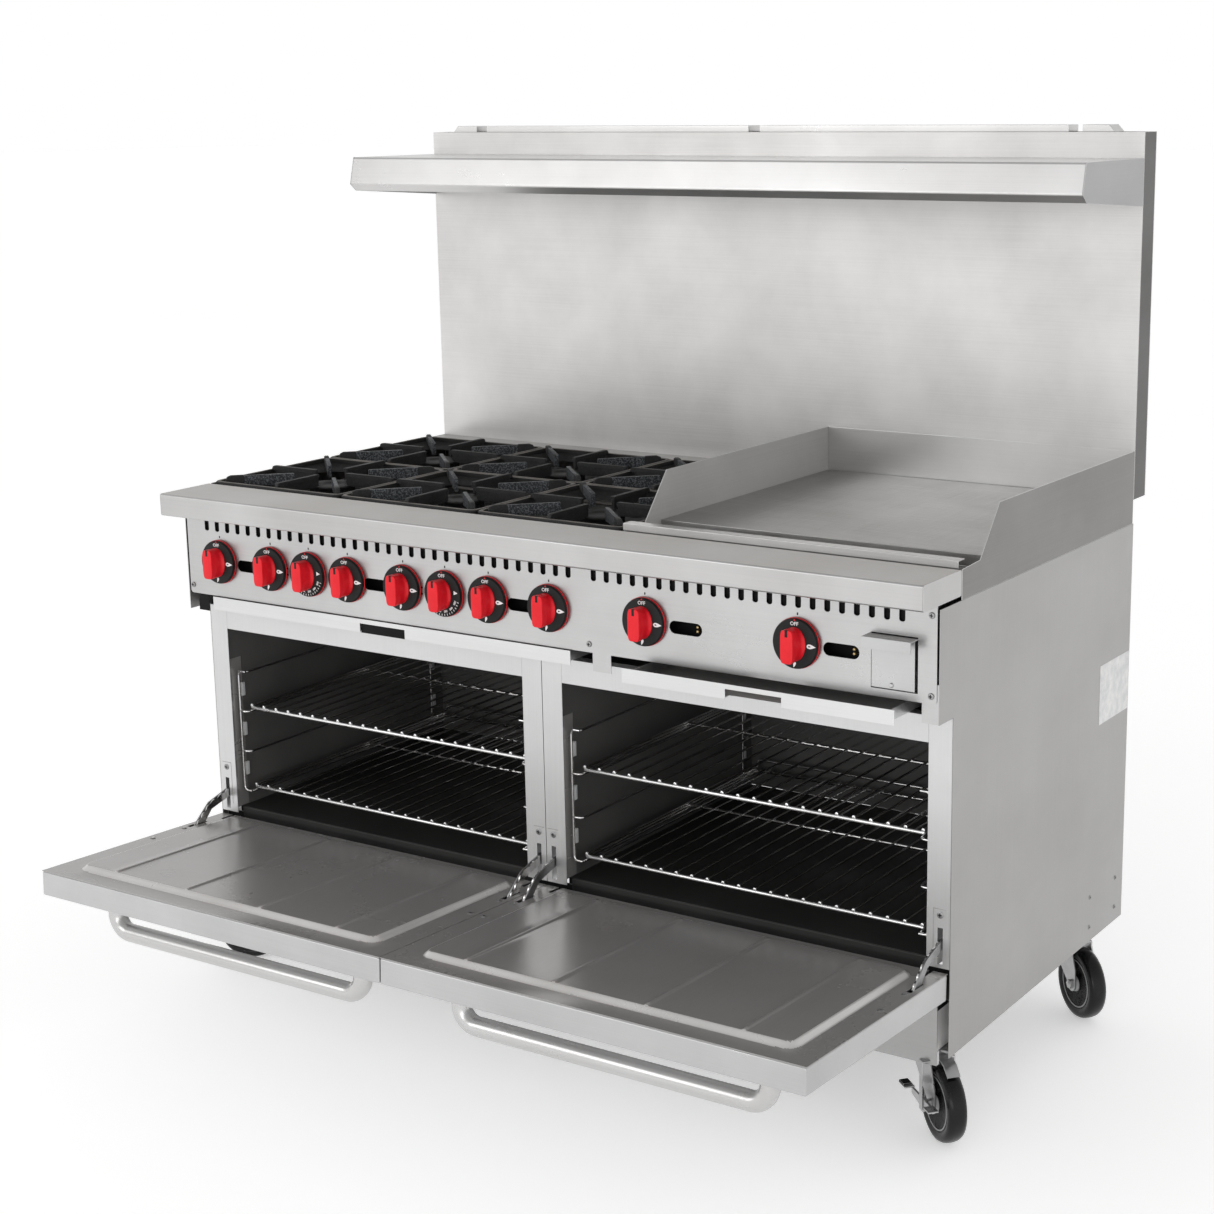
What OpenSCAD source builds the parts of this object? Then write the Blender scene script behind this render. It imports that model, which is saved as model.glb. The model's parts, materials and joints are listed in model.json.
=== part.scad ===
/* [Body] */
// Overall width of the range
range_w = 1524; // [1500:1:1540]
// Height of the body's lower edge above the floor
base_z = 157; // [150:1:160]
// Height of the cooking deck above the floor
deck_z = 924; // [920:1:930]
// Distance from the control panel back to the rear of the body
body_back_y = 750; // [740:1:752]
// Thickness of the sheet metal
sheet = 1.5; // [1:0.1:2]

/* [Backguard and shelf] */
// Height of the backguard's top edge above the floor
guard_top_z = 1543; // [1500:1:1600]
// Distance from the control panel back to the backguard's rear face
guard_back_y = 800; // [790:1:820]
// Height of the shelf's top above the floor
shelf_z = 1500; // [1460:1:1520]
// Distance from the control panel back to the shelf's front edge
shelf_front_y = 500; // [450:1:560]

/* [Control panel] */
// Height of the knob centres above the floor
knob_z = 798; // [795:1:810]
// Radius of a knob's bezel
bezel_r = 40; // [34:1:42]

/* [Ovens] */
// Height of the oven deck above the floor
oven_deck_z = 310; // [308:1:314]
// Height of the oven opening's top edge above the floor
opening_top_z = 658; // [650:1:660]
// Depth of an oven rack
rack_d = 560; // [500:1:565]
// Distance between neighbouring rack levels
rack_pitch = 77; // [74:1:78]

/* [Doors] */
// How far an open door's outer edge tilts up, in degrees
door_tilt = 2.8; // [0:0.1:4]
// Length of a door from its lower edge to its top edge
door_h = 433; // [425:1:433]
// Thickness of a door
door_t = 44; // [42:1:46]
// Radius of the handle's tube
handle_r = 14; // [10:0.5:15]

/* [Cooktop] */
// Width of the griddle section
griddle_w = 605; // [600:1:610]
// Height of the griddle splash's top edge above the floor
splash_z = 1005; // [980:1:1020]
// Thickness of the griddle plate
plate_t = 19; // [12:1:25]

/* [Casters] */
// Radius of a caster wheel
wheel_r = 63.5; // [55:0.5:63.5]
// Distance from the swivel axis to the wheel's axle
trail = 44; // [38:1:46]
// Angle of the front casters' trail from the width, in degrees
front_trail_angle = 40; // [0:1:60]
// Angle of the rear casters' trail from the width, in degrees
rear_trail_angle = 37; // [0:1:60]

/* [Hidden] */
$fn = 48;

steel = "#c9c8c4";
dark_steel = "#8f8e8a";
enamel = "#1b1b1d";
iron = "#232326";
zinc = "#aeb2b5";
wire_chrome = "#d8d8d6";
rubber = "#222224";
knob_red = "#c8141c";

gap = 0.2;
half_w = range_w / 2;
inner_w = half_w - sheet - gap;

// Front planes, measured back from the control panel's face
face_y = 48;
kick_y = 60;
kick_end_x = 735;
ledge_y = -57;
ledge_h = 40;
panel_bottom_z = 733;
side_step_z = 702;
side_top_z = 877;

// Doors: hinge pivot, and places along the door measured from it
pivot_y = 26;
pivot_z = 277;
door_low = -19;
door_top = door_low + door_h;
door_in = 20;
door_out = door_in - door_t;
door_side = half_w - 3.5;
hinge_outer_x = 744;
hinge_inner_x = 15.5;
low_head_h = 1.4;

// The row's origin stands under the middle of the open range
front_y = pivot_y - door_top * cos(door_tilt) + door_out * sin(door_tilt);
mid_y = (guard_back_y + front_y) / 2;

// Oven cavities
cavity_in = 37;
cavity_out = 725;
cavity_front_y = 50.7;
sill_y = 62;
cavity_back_y = 662;
cavity_top_z = 664;
opening_in = 41;
opening_out = 721;
post_low_z = 302;
frame_top_z = 700;

// Rack guides and racks
guide_z = 342.8;
guide_y = 66;
wire = 4;
rack_in = 63;
rack_front_y = 80;

// Cooktop sections
griddle_x = half_w - griddle_w;
grate_left_x = -half_w + 2;
grate_x = (griddle_x - 3 - grate_left_x) / 3;
grate_front_y = 71;
grate_d = 309;
guard_y = 746;

// Knob places from left to right
knob_xs = [-678, -555, -465, -375, -251, -160, -68, 56, 244, 522];

// Casters
plate_x = 702;
front_plate_y = 113;
rear_plate_y = 662;

module in_frame() {
    translate([0, -mid_y, 0]) children();
}

module slab(x, y, z) {
    translate([x[0], y[0], z[0]]) cube([x[1] - x[0], y[1] - y[0], z[1] - z[0]]);
}

// A flat sheet whose outline lies in the depth and height directions
module sheet_yz(x, outline, t = sheet) {
    translate([x, 0, 0]) rotate([90, 0, 90]) linear_extrude(t) polygon(outline);
}

// A flat sheet whose outline lies in the width and height directions
module sheet_xz(y, t = sheet) {
    translate([0, y + t, 0]) rotate([90, 0, 0]) linear_extrude(t) children();
}

module rect_2d(x, z) {
    translate([x[0], z[0]]) square([x[1] - x[0], z[1] - z[0]]);
}

// A round bar along the depth
module rod_y(x, y, z, r) {
    translate([x, y[0], z]) rotate([-90, 0, 0]) cylinder(h = y[1] - y[0], r = r);
}

// A round bar along the width
module rod_x(x, y, z, r) {
    translate([x[0], y, z]) rotate([0, 90, 0]) cylinder(h = x[1] - x[0], r = r);
}

// A pan-head screw whose head stands on a face looking to the front
module screw_front(x, y, z, r = 5, h = 2.2) {
    translate([x, y, z]) rotate([90, 0, 0]) cylinder(h = h, r1 = r, r2 = r * 0.7);
}

// ---------------------------------------------------------------- body

module side_panels() {
    color(steel) in_frame() {
        for (x = [-half_w, half_w - sheet])
            sheet_yz(x, [[face_y, base_z], [body_back_y, base_z], [body_back_y, side_top_z],
                [0, side_top_z], [0, side_step_z], [face_y, side_step_z]]);
    }
}

module rear_panel() {
    inlet_x = 610;
    inlet_r = 17;
    color(dark_steel) in_frame() difference() {
        slab([-inner_w, inner_w], [body_back_y - sheet, body_back_y], [185, side_top_z]);
        rod_y(inlet_x, [body_back_y - 10, body_back_y + 10], knob_z, inlet_r);
        for (x = [-600 : 200 : 600], z = [240 : 30 : 420])
            slab([x - 55, x + 55], [body_back_y - 10, body_back_y + 10], [z, z + 8]);
    }
}

module base_frame() {
    rail = 30;
    plate = [102, 84];
    plate_t = 4;
    color(zinc) in_frame() {
        slab([-kick_end_x + 2, kick_end_x - 2], [64, 100], [base_z, base_z + rail]);
        slab([-inner_w, inner_w], [706, 745], [base_z, base_z + rail]);
        for (x = [-inner_w, inner_w - rail])
            slab([x, x + rail], [106, 706 - gap], [base_z, base_z + rail]);
        for (s = [-1, 1], y = [front_plate_y, rear_plate_y])
            translate([s * plate_x - plate[0] / 2, y - plate[1] / 2, base_z - gap - plate_t])
                cube([plate[0], plate[1], plate_t]);
    }
}

// One flat post with slots and bracket holes for the door hinges
module post(x, hinges) {
    difference() {
        slab(x, [face_y, face_y + sheet], [post_low_z, frame_top_z]);
        for (h = hinges)
            slab([h - 4.5, h + 4.5], [face_y - 5, face_y + 5], [308, 367]);
    }
}

// A bracket that carries a door's hinge pin in front of the frame
module hinge_bracket(x) {
    eye_r = 9;
    bore_r = 4.35;
    translate([x - 2, 0, 0]) rotate([90, 0, 90]) linear_extrude(4) difference() {
        union() {
            translate([pivot_y, pivot_z]) circle(r = eye_r);
            polygon([[pivot_y, pivot_z - eye_r], [sill_y - gap, pivot_z - 13],
                [sill_y - gap, pivot_z + 13], [pivot_y, pivot_z + eye_r]]);
        }
        translate([pivot_y, pivot_z]) circle(r = bore_r);
    }
}

// Two cheeks behind a post that the hinge arms slide between
module arm_rest(x) {
    slab([x - 9, x - 6], [face_y + sheet + gap, 90], [304, 372]);
    slab([x + 6, x + 9], [face_y + sheet + gap, 90], [304, 372]);
}

function bracket_x(s, x) = s * (x == hinge_outer_x ? x - 13 : x + 13);

module face_frame() {
    seam = 0.6;
    rail_z = [opening_top_z, frame_top_z];
    color(steel) in_frame() {
        for (s = [-1, 1]) {
            post(s > 0 ? [opening_out, inner_w] : [-inner_w, -opening_out], [s * hinge_outer_x]);
            post(s > 0 ? [seam, opening_in] : [-opening_in, -seam], [s * hinge_inner_x]);
            rail_x = s > 0 ? [opening_in + gap, opening_out - gap]
                : [gap - opening_out, -opening_in - gap];
            slab(rail_x, [face_y, face_y + sheet], rail_z);
            slab(rail_x, [face_y + sheet + gap, face_y + 22], [frame_top_z - 2, frame_top_z]);
        }
        slab([-inner_w, inner_w], [sill_y, sill_y + 2], [246, 300]);
    }
    color(zinc) in_frame() for (s = [-1, 1], x = [hinge_inner_x, hinge_outer_x]) {
        hinge_bracket(bracket_x(s, x));
        arm_rest(s * x);
    }
}

module kick_plate() {
    end_x = kick_end_x;
    lip_d = 9;
    return_d = 44;
    low_z = 133;
    top_z = 240;
    color(steel) in_frame() {
        slab([-end_x, end_x], [kick_y, kick_y + sheet], [low_z, top_z]);
        for (s = [-1, 1]) {
            end = s > 0 ? [end_x - sheet, end_x] : [-end_x, sheet - end_x];
            slab(end, [kick_y + sheet + gap, kick_y + lip_d], [low_z, base_z - gap]);
            slab(end, [kick_y + sheet + gap, kick_y + return_d], [base_z + gap, top_z]);
        }
    }
}

// ---------------------------------------------------------------- ovens

module oven_liners() {
    t = sheet;
    color(enamel) in_frame() for (s = [0, 1]) mirror([s, 0, 0]) {
        for (x = [cavity_in - t, cavity_out])
            slab([x, x + t], [cavity_front_y, cavity_back_y], [oven_deck_z + gap, cavity_top_z]);
        slab([cavity_in - t, cavity_out + t], [cavity_back_y + gap, cavity_back_y + gap + t],
            [oven_deck_z + gap, cavity_top_z]);
        slab([cavity_in - t, cavity_out + t], [cavity_front_y, cavity_back_y],
            [cavity_top_z + gap, cavity_top_z + gap + t]);
        slab([cavity_in - t, cavity_out + t], [sill_y + 2 + gap, cavity_back_y],
            [oven_deck_z - t, oven_deck_z]);
        slab([cavity_in + 6, cavity_out - 6], [sill_y - 2, sill_y - gap], [290, oven_deck_z]);
    }
}

module rack_guide(x, s) {
    h = wire / 2;
    levels = 3;
    for (y = [guide_y, guide_y + rack_d - 10])
        slab([x - h, x + h], [y - h, y + h], [guide_z - h, guide_z + levels * rack_pitch + h]);
    for (i = [0 : levels]) {
        z = guide_z + i * rack_pitch;
        rail_x = x + s * 18;
        slab([rail_x - h, rail_x + h], [guide_y - h, guide_y + rack_d - 10 + h], [z - h, z + h]);
        prong = s > 0 ? [x + h + gap, rail_x - h - gap] : [rail_x + h + gap, x - h - gap];
        for (y = [guide_y, guide_y + rack_d - 10])
            slab(prong, [y - h, y + h], [z - h, z + h]);
    }
}

module rack_guides() {
    color(wire_chrome) in_frame() for (m = [0, 1]) mirror([m, 0, 0]) {
        rack_guide(cavity_in + 8, 1);
        rack_guide(cavity_out - 8, -1);
    }
}

// One wire rack; side is -1 for the left oven, level counts guide rails from the lowest
module rack(side, level) {
    bars = 20;
    low_z = guide_z + wire / 2 + 0.3 + level * rack_pitch;
    in_x = rack_in;
    out_x = cavity_out + cavity_in - rack_in;
    pitch = (out_x - in_x) / (bars + 1);
    back_y = rack_front_y + rack_d;
    color(wire_chrome) in_frame() mirror([side < 0 ? 1 : 0, 0, 0]) {
        for (y = [rack_front_y, rack_front_y + rack_d * 0.57, back_y])
            slab([in_x - 3, out_x + 3], [y - 3, y + 3], [low_z, low_z + 5 - gap]);
        for (i = [0 : bars + 1])
            slab([in_x + i * pitch - 2, in_x + i * pitch + 2], [rack_front_y - 4, back_y + 4],
                [low_z + 5, low_z + 9]);
        slab([in_x - 3, out_x + 3], [back_y, back_y + 4], [low_z + 9 + gap, low_z + 28]);
    }
}

module left_upper_rack() rack(-1, 2);
module left_lower_rack() rack(-1, 0);
module right_upper_rack() rack(1, 2);
module right_lower_rack() rack(1, 0);

module tube_burners() {
    oven_tube_r = 19;
    griddle_tube_r = 20;
    color(dark_steel) in_frame() {
        for (s = [-1, 1])
            rod_y(s * (cavity_in + cavity_out) / 2, [120, 600], 272, oven_tube_r);
        for (x = [290, 480, 640])
            rod_y(x, [190, 690], 868, griddle_tube_r);
    }
}

// ---------------------------------------------------------------- control panel

module vent_slot_2d(x) {
    slot_w = 8;
    translate([x, 856]) circle(r = slot_w / 2);
    rect_2d([x - slot_w / 2, x + slot_w / 2], [856, 880]);
}

module obround_2d(x, z, r) {
    for (e = x) translate([e, z]) circle(r = r);
    rect_2d(x, [z - r, z + r]);
}

module control_panel() {
    corner = 6;
    edge_x = half_w - 5;
    drawer_x = [648, 726];
    drawer_z = [745.5, 831];
    view_slots = [[-627, -587], [-329, -288], [-20, 21], [300, 340], [577, 618]];
    color(steel) in_frame() sheet_xz(0) difference() {
        union() {
            rect_2d([-edge_x, edge_x], [panel_bottom_z + corner, 883]);
            rect_2d([-edge_x + corner, edge_x - corner], [panel_bottom_z, panel_bottom_z + corner]);
            for (s = [-1, 1])
                translate([s * (edge_x - corner), panel_bottom_z + corner]) circle(r = corner);
        }
        for (x = knob_xs) translate([x, knob_z]) circle(r = 6);
        for (e = view_slots) obround_2d(e, 795, 10.5);
        for (i = [0 : 32]) vent_slot_2d(-708 + i * 25.1);
        for (i = [0 : 22]) vent_slot_2d(145 + i * 25.2);
        rect_2d(drawer_x, drawer_z);
    }
    // Corner tabs and the centre bracket below the panel
    color(steel) in_frame() {
        for (x = [[-inner_w, -735], [139, 175], [732, inner_w]])
            slab(x, [sheet + gap, sheet * 2 + gap], [side_step_z, panel_bottom_z + 30]);
    }
}

// A channel that is open below behind the control panel, closed by two end caps
module front_ledge() {
    t = sheet;
    back_y = 68;
    low_z = deck_z - ledge_h;
    wall_z = [low_z, deck_z - t - gap];
    color(steel) in_frame() {
        slab([-half_w, half_w], [ledge_y, back_y], [deck_z - t, deck_z]);
        slab([-half_w, half_w], [ledge_y, ledge_y + t], wall_z);
        slab([-half_w, half_w], [back_y - t, back_y], wall_z);
        slab([-half_w, half_w], [ledge_y + t + gap, -1], [low_z, low_z + t]);
        for (x = [-half_w, half_w - t])
            slab([x, x + t], [ledge_y + t + gap, back_y - t - gap],
                [low_z + t + gap, deck_z - t - gap]);
    }
}

// ---------------------------------------------------------------- burners and grates

module burner_box() {
    t = sheet;
    left_x = -half_w;
    right_x = griddle_x - gap - t;
    y = [grate_front_y - 1, guard_y - gap];
    color(dark_steel) in_frame() {
        slab([left_x, left_x + t], y, [side_top_z + gap, deck_z]);
        slab([right_x - t, right_x], y, [side_top_z + gap, deck_z]);
        slab([left_x + t + gap, right_x - t - gap], [y[1] - 48, y[1]], [deck_z - t, deck_z]);
        slab([left_x + t + gap, right_x - t - gap], [y[1] - t, y[1]],
            [side_top_z + gap, deck_z - t - gap]);
        for (ry = [95, 235, 370, 395, 535, 675])
            slab([left_x + t + gap, right_x - t - gap], [ry - 9, ry + 9], [858, 861]);
    }
}

// A round burner: its body, the port ring over it and the cap on top
module burner_head(x, y) {
    body_h = 36;
    ring_h = 10;
    translate([x, y, 861 + gap]) {
        cylinder(h = body_h - gap, r = 36);
        translate([0, 0, body_h]) cylinder(h = ring_h - gap, r = 42);
        translate([0, 0, body_h + ring_h]) cylinder(h = 4.5, r = 46);
    }
}

module top_burners() {
    color(iron) in_frame() for (i = [0 : 2], y = [226, 535]) {
        x = grate_left_x + (i + 0.5) * grate_x;
        burner_head(x, y);
        rod_y(x, [y - 122, y - 38], 873, 11);
    }
}

// One lift-off grate with an outer rim and eight fins towards the burner
module grate(n) {
    col = (n - 1) % 3;
    row = n > 3 ? 1 : 0;
    half_x = (grate_x - 1.5) / 2;
    half_y = (grate_d - 1.5) / 2;
    rim = 14;
    fin = 4;
    fin_starts = [36, 68];
    rim_z = [deck_z - 10, deck_z + 4];
    fin_zs = [[deck_z - 9, deck_z + 11], [deck_z - 13, deck_z + 12]];
    inner_x = half_x - rim - gap;
    inner_y = half_y - rim - gap;
    corner_end = inner_x * sqrt(2) - fin;
    ends = [inner_x, corner_end, inner_y, corner_end];
    cx = grate_left_x + (col + 0.5) * grate_x;
    cy = grate_front_y + (row + 0.5) * grate_d;
    color(iron) in_frame() translate([cx, cy, 0]) {
        for (s = [-1, 1]) {
            slab([-half_x, half_x], [s * (half_y - rim / 2) - rim / 2,
                s * (half_y - rim / 2) + rim / 2], rim_z);
            slab([s * (half_x - rim / 2) - rim / 2, s * (half_x - rim / 2) + rim / 2],
                [-inner_y, inner_y], rim_z);
        }
        for (i = [0 : 7])
            rotate([0, 0, 45 * i]) slab([fin_starts[i % 2], ends[i % 4]], [-fin, fin], fin_zs[i % 2]);
    }
}

module grate_1() grate(1);
module grate_2() grate(2);
module grate_3() grate(3);
module grate_4() grate(4);
module grate_5() grate(5);
module grate_6() grate(6);

// ---------------------------------------------------------------- griddle

module griddle_plate() {
    color(dark_steel) in_frame() {
        slab([griddle_x + sheet + gap, half_w - 3], [178, guard_y - 4], [deck_z - plate_t, deck_z]);
    }
}

module griddle_splash() {
    t = sheet;
    low_z = side_top_z + gap;
    side = [[70, low_z], [guard_y - gap, low_z], [guard_y - gap, splash_z], [197, splash_z],
        [131, deck_z + 3], [70, deck_z]];
    trough_x = [griddle_x + t + gap, half_w - t - gap];
    trough_z = deck_z - 30;
    chute_x = [662, 710];
    chute_y = [100, 160];
    chute_z = [835, trough_z + t];
    color(steel) in_frame() {
        sheet_yz(griddle_x, side);
        sheet_yz(half_w - t, side);
        slab(trough_x, [guard_y - gap - t, guard_y - gap], [deck_z - plate_t, splash_z]);
        for (x = [[trough_x[0], chute_x[0] - gap], [chute_x[1] + gap, trough_x[1]]])
            slab(x, [84, 176], [trough_z, trough_z + t]);
        slab(trough_x, [176 + gap, 176 + gap + t], [trough_z, deck_z - plate_t - gap]);
        slab(trough_x, [82 - t, 82], [trough_z, deck_z]);
        slab([griddle_x - 1, half_w - 7], [70, 72], [deck_z + gap, deck_z + 12]);
        slab([griddle_x - 1, half_w - 7], [72 + gap, 92], [deck_z + 10, deck_z + 12]);
        // Chute that drops grease from the trough into the drawer
        for (y = [chute_y[0], chute_y[1] - t])
            slab(chute_x, [y, y + t], chute_z);
        for (x = [chute_x[0], chute_x[1] - t])
            slab([x, x + t], chute_y + [t + gap, -t - gap], chute_z);
    }
}

// ---------------------------------------------------------------- backguard and shelf

module backguard() {
    t = sheet;
    color(steel) in_frame() {
        slab([-half_w, half_w], [guard_y, guard_y + t], [deck_z - 5, guard_top_z]);
        slab([-half_w, half_w], [guard_back_y - t, guard_back_y], [deck_z - 5, guard_top_z]);
        for (x = [-half_w, half_w - t])
            slab([x, x + t], [guard_y + t + gap, guard_back_y - t - gap],
                [deck_z - 5, guard_top_z]);
    }
}

// Raised plates over the flue outlet, with tapered outer ends
module flue_cap() {
    cap_h = 12;
    z = guard_top_z + gap;
    color(steel) in_frame() {
        for (x = [[-625, -12], [12, 625]])
            slab(x, [guard_y, guard_back_y - 12], [z, z + cap_h]);
        for (s = [0, 1]) mirror([s, 0, 0])
            translate([0, guard_back_y - 12, 0]) rotate([90, 0, 0])
                linear_extrude(guard_back_y - 12 - guard_y)
                    polygon([[650, z], [709, z], [698, z + cap_h], [650, z + cap_h]]);
    }
}

module high_shelf() {
    t = sheet;
    nose_y = shelf_front_y - 13;
    nose_z = shelf_z - 51;
    lip = [nose_y + 16, nose_z - 13];
    end = [[shelf_front_y, shelf_z], [nose_y, nose_z], lip, [guard_y - gap, shelf_z - 80],
        [guard_y - gap, shelf_z]];
    color(steel) in_frame() {
        slab([-half_w + t + gap, half_w - t - gap], [shelf_front_y, guard_y - gap],
            [shelf_z - t, shelf_z]);
        sheet_yz(-half_w + t + gap, [[shelf_front_y, shelf_z - t - gap], [nose_y, nose_z],
            [nose_y + t, nose_z], [shelf_front_y + t, shelf_z - t - gap]],
            range_w - 2 * t - 2 * gap);
        sheet_yz(-half_w + t + gap, [[nose_y, nose_z - gap], lip, [lip[0] + t, lip[1] + t],
            [nose_y + t * 2, nose_z - gap]], range_w - 2 * t - 2 * gap);
        for (x = [-half_w, half_w - t]) sheet_yz(x, end);
    }
}

// ---------------------------------------------------------------- gas supply

module gas_manifold() {
    pipe_r = 13.35;
    pipe_y = 88;
    inlet_x = 610;
    nipple_y = body_back_y + 2;
    tail_y = nipple_y + 40;
    color(zinc) in_frame() {
        rod_x([-700, inlet_x - 18], pipe_y, knob_z, pipe_r);
        translate([inlet_x, pipe_y, knob_z]) sphere(r = 17.8);
        rod_y(inlet_x, [pipe_y + 18, nipple_y - gap], knob_z, pipe_r - 1);
        rod_y(inlet_x, [nipple_y, tail_y], knob_z, pipe_r);
        for (i = [0 : 9]) {
            big = i == 2 || i == 5;
            w = big ? 26 : 15;
            x = knob_xs[i];
            slab([x - w, x + w], [34, pipe_y - pipe_r - gap], [knob_z - w, knob_z + w]);
        }
    }
}

module body_screws() {
    color(zinc) in_frame() {
        for (p = [[-750, 748], [134, 747], [748, 867], [748, 745]])
            screw_front(p[0], -gap, p[1]);
        for (s = [-1, 1], x = [hinge_inner_x, hinge_outer_x])
            screw_front(s * x, face_y - gap, 388, h = low_head_h);
    }
}

// ---------------------------------------------------------------- doors

// Places children made in a door's own directions: x across, -y along the door, z inwards
module door_frame(side) {
    in_frame() translate([0, pivot_y, pivot_z]) rotate([-door_tilt, 0, 0])
        mirror([side < 0 ? 1 : 0, 0, 0]) children();
}

// Slots that let the frame's hinge brackets reach the pins through an open or shut door
module bracket_slots() {
    half_slot = 3.5;
    for (x = [hinge_inner_x, hinge_outer_x])
        slab([bracket_x(1, x) - half_slot, bracket_x(1, x) + half_slot], [-12, 40], [-12, 40]);
}

module door_shell(side) {
    t = sheet;
    x = [0.8, door_side];
    y = [-door_top, -door_low];
    z = [door_out, door_in - t - gap];
    color(steel) door_frame(side) difference() {
        slab(x, y, z);
        slab([x[0] + t, x[1] - t], [y[0] + t, y[1] - t], [z[0] + t, z[1] + 1]);
        bracket_slots();
    }
}

module door_liner(side) {
    t = sheet;
    x = [0.8, door_side];
    mid_x = (x[0] + x[1]) / 2;
    half = 337;
    panel_y = [-377, -4];
    rise = 8;
    color(steel) door_frame(side) {
        difference() {
            slab(x, [-door_top, -door_low], [door_in - t, door_in]);
            slab([mid_x - half, mid_x + half], panel_y, [door_in - 5, door_in + 5]);
            bracket_slots();
            for (h = [hinge_inner_x, hinge_outer_x])
                slab([h - 4.5, h + 4.5], [-84, -40], [door_in - 5, door_in + 5]);
        }
        slab([mid_x - half + gap, mid_x + half - gap], [panel_y[0] + gap, panel_y[1] - gap],
            [door_in + rise - t - gap, door_in + rise]);
        difference() {
            slab([mid_x - half + gap, mid_x + half - gap], [panel_y[0] + gap, panel_y[1] - gap],
                [door_in - t, door_in + rise - t - gap * 2]);
            slab([mid_x - half + t, mid_x + half - t], [panel_y[0] + t, panel_y[1] - t],
                [door_in - 5, door_in + rise]);
        }
    }
}

module door_handle(side) {
    mid_x = door_side / 2;
    reach = 279;
    stand = 66;
    bend = 42;
    along = 336;
    color(steel) door_frame(side) translate([mid_x, -along, door_out - gap]) {
        translate([0, 0, -stand]) rod_x([bend - reach, reach - bend], 0, 0, handle_r);
        for (s = [0, 1]) mirror([s, 0, 0]) translate([reach - bend, 0, bend - stand]) {
            rotate([90, 90, 0]) rotate_extrude(angle = 90) translate([bend, 0]) circle(r = handle_r);
            translate([bend, 0, 0]) cylinder(h = stand - bend, r = handle_r);
        }
    }
}

// A curved arm on each hinge that slides through the frame's slot, with its pin
module hinge_arms(side) {
    arm_t = 5.4;
    arm = [[44, 60], [24, 73], [-32, 54], [-68, 20], [-74, -14], [0, -14], [6, -8], [6, 4],
        [-5, 8], [-55, 8], [-27, 41], [24, 57], [38, 47]];
    color(zinc) door_frame(side) {
        for (x = [hinge_inner_x, hinge_outer_x])
            translate([x - arm_t / 2, 0, 0]) rotate([90, 0, 90]) linear_extrude(arm_t) polygon(arm);
        for (x = [hinge_inner_x, hinge_outer_x]) {
            inward = x == hinge_outer_x ? -1 : 1;
            ends = [x + inward * 3, x + inward * 20];
            rod_x([min(ends), max(ends)], 0, 0, 4);
        }
        for (p = [[14, -172], [744, -172], [14, -95], [744, -95]])
            translate([p[0], p[1], door_in + gap]) cylinder(h = low_head_h, r1 = 5, r2 = 3.5);
    }
}

module left_door_shell() door_shell(-1);
module left_door_liner() door_liner(-1);
module left_door_handle() door_handle(-1);
module left_hinge_arms() hinge_arms(-1);
module right_door_shell() door_shell(1);
module right_door_liner() door_liner(1);
module right_door_handle() door_handle(1);
module right_hinge_arms() hinge_arms(1);

// ---------------------------------------------------------------- knobs

// A round dial with a bar grip that stands on a lens-shaped foot
module knob(n) {
    x = knob_xs[n - 1];
    dial_back = 2;
    dial_t = 8;
    grip_w = 22;
    grip_r = 27;
    grip_h = 25;
    foot_r = 30;
    foot_offset = 15;
    shaft_r = 4;
    color(knob_red) in_frame() translate([x, 0, knob_z]) rotate([90, 0, 0]) {
        translate([0, 0, dial_back]) cylinder(h = dial_t, r = bezel_r);
        translate([0, 0, dial_back + dial_t - 1]) {
            intersection() {
                cylinder(h = grip_h + 1, r = grip_r);
                translate([-grip_w / 2, -grip_r, 0]) cube([grip_w, 2 * grip_r, grip_h + 1]);
            }
            linear_extrude(9) intersection() {
                translate([-foot_offset, 0]) circle(r = foot_r);
                translate([foot_offset, 0]) circle(r = foot_r);
            }
        }
        translate([0, 0, -30]) cylinder(h = dial_back + 31, r = shaft_r);
    }
}

module knob_1() knob(1);
module knob_2() knob(2);
module knob_3() knob(3);
module knob_4() knob(4);
module knob_5() knob(5);
module knob_6() knob(6);
module knob_7() knob(7);
module knob_8() knob(8);
module knob_9() knob(9);
module knob_10() knob(10);

// ---------------------------------------------------------------- trays and drawer

// A sliding tray folded from one sheet, with a front plate that has a finger notch
module crumb_tray(x, front_y, z, depth) {
    t = sheet;
    mid_x = (x[0] + x[1]) / 2;
    pan_x = [x[0] + 12, x[1] - 12];
    y = [front_y, front_y + depth];
    floor_z = z[0] + 2;
    wall_z = z[0] + 20;
    notch = [mid_x - 50, mid_x + 50];
    color(steel) in_frame() difference() {
        union() {
            slab(x, [front_y, front_y + t], z);
            slab(pan_x, y, [floor_z, wall_z]);
        }
        slab(pan_x + [t, -t], y + [t, -t], [floor_z + t, wall_z + 1]);
        slab(notch, [front_y - 1, front_y + 12], [z[0] - 1, z[0] + 11]);
    }
}

module left_crumb_tray() crumb_tray([-698, 99], -5, [708, 732], 640);
module right_crumb_tray() crumb_tray([224, 708], -40, [704, 728], 600);

module grease_drawer() {
    t = sheet;
    x = [649.5, 721.5];
    z = [747.5, 829];
    depth = 380;
    lip_x = [x[0] - 5, x[1] + 5];
    lip_y = -26;
    lip_drop = 18;
    color(steel) in_frame() {
        difference() {
            slab(x, [-t, 0], z);
            slab([x[0] - 1, x[1] + 1], [-2 * t, t], [z[1] - t, z[1] + 1]);
        }
        difference() {
            slab(x + [2, -2], [-t / 2, depth], [z[0] + 1, z[1] - 4]);
            slab(x + [2 + t, -2 - t], [0, depth - t], [z[0] + 1 + t, z[1]]);
        }
        slab(lip_x, [lip_y, 0], [z[1] - t, z[1]]);
        slab(lip_x, [lip_y, lip_y + t], [z[1] - lip_drop, z[1]]);
    }
    color(zinc) in_frame() screw_front(683, -t - gap, z[0] + 6, 4);
}

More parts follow.
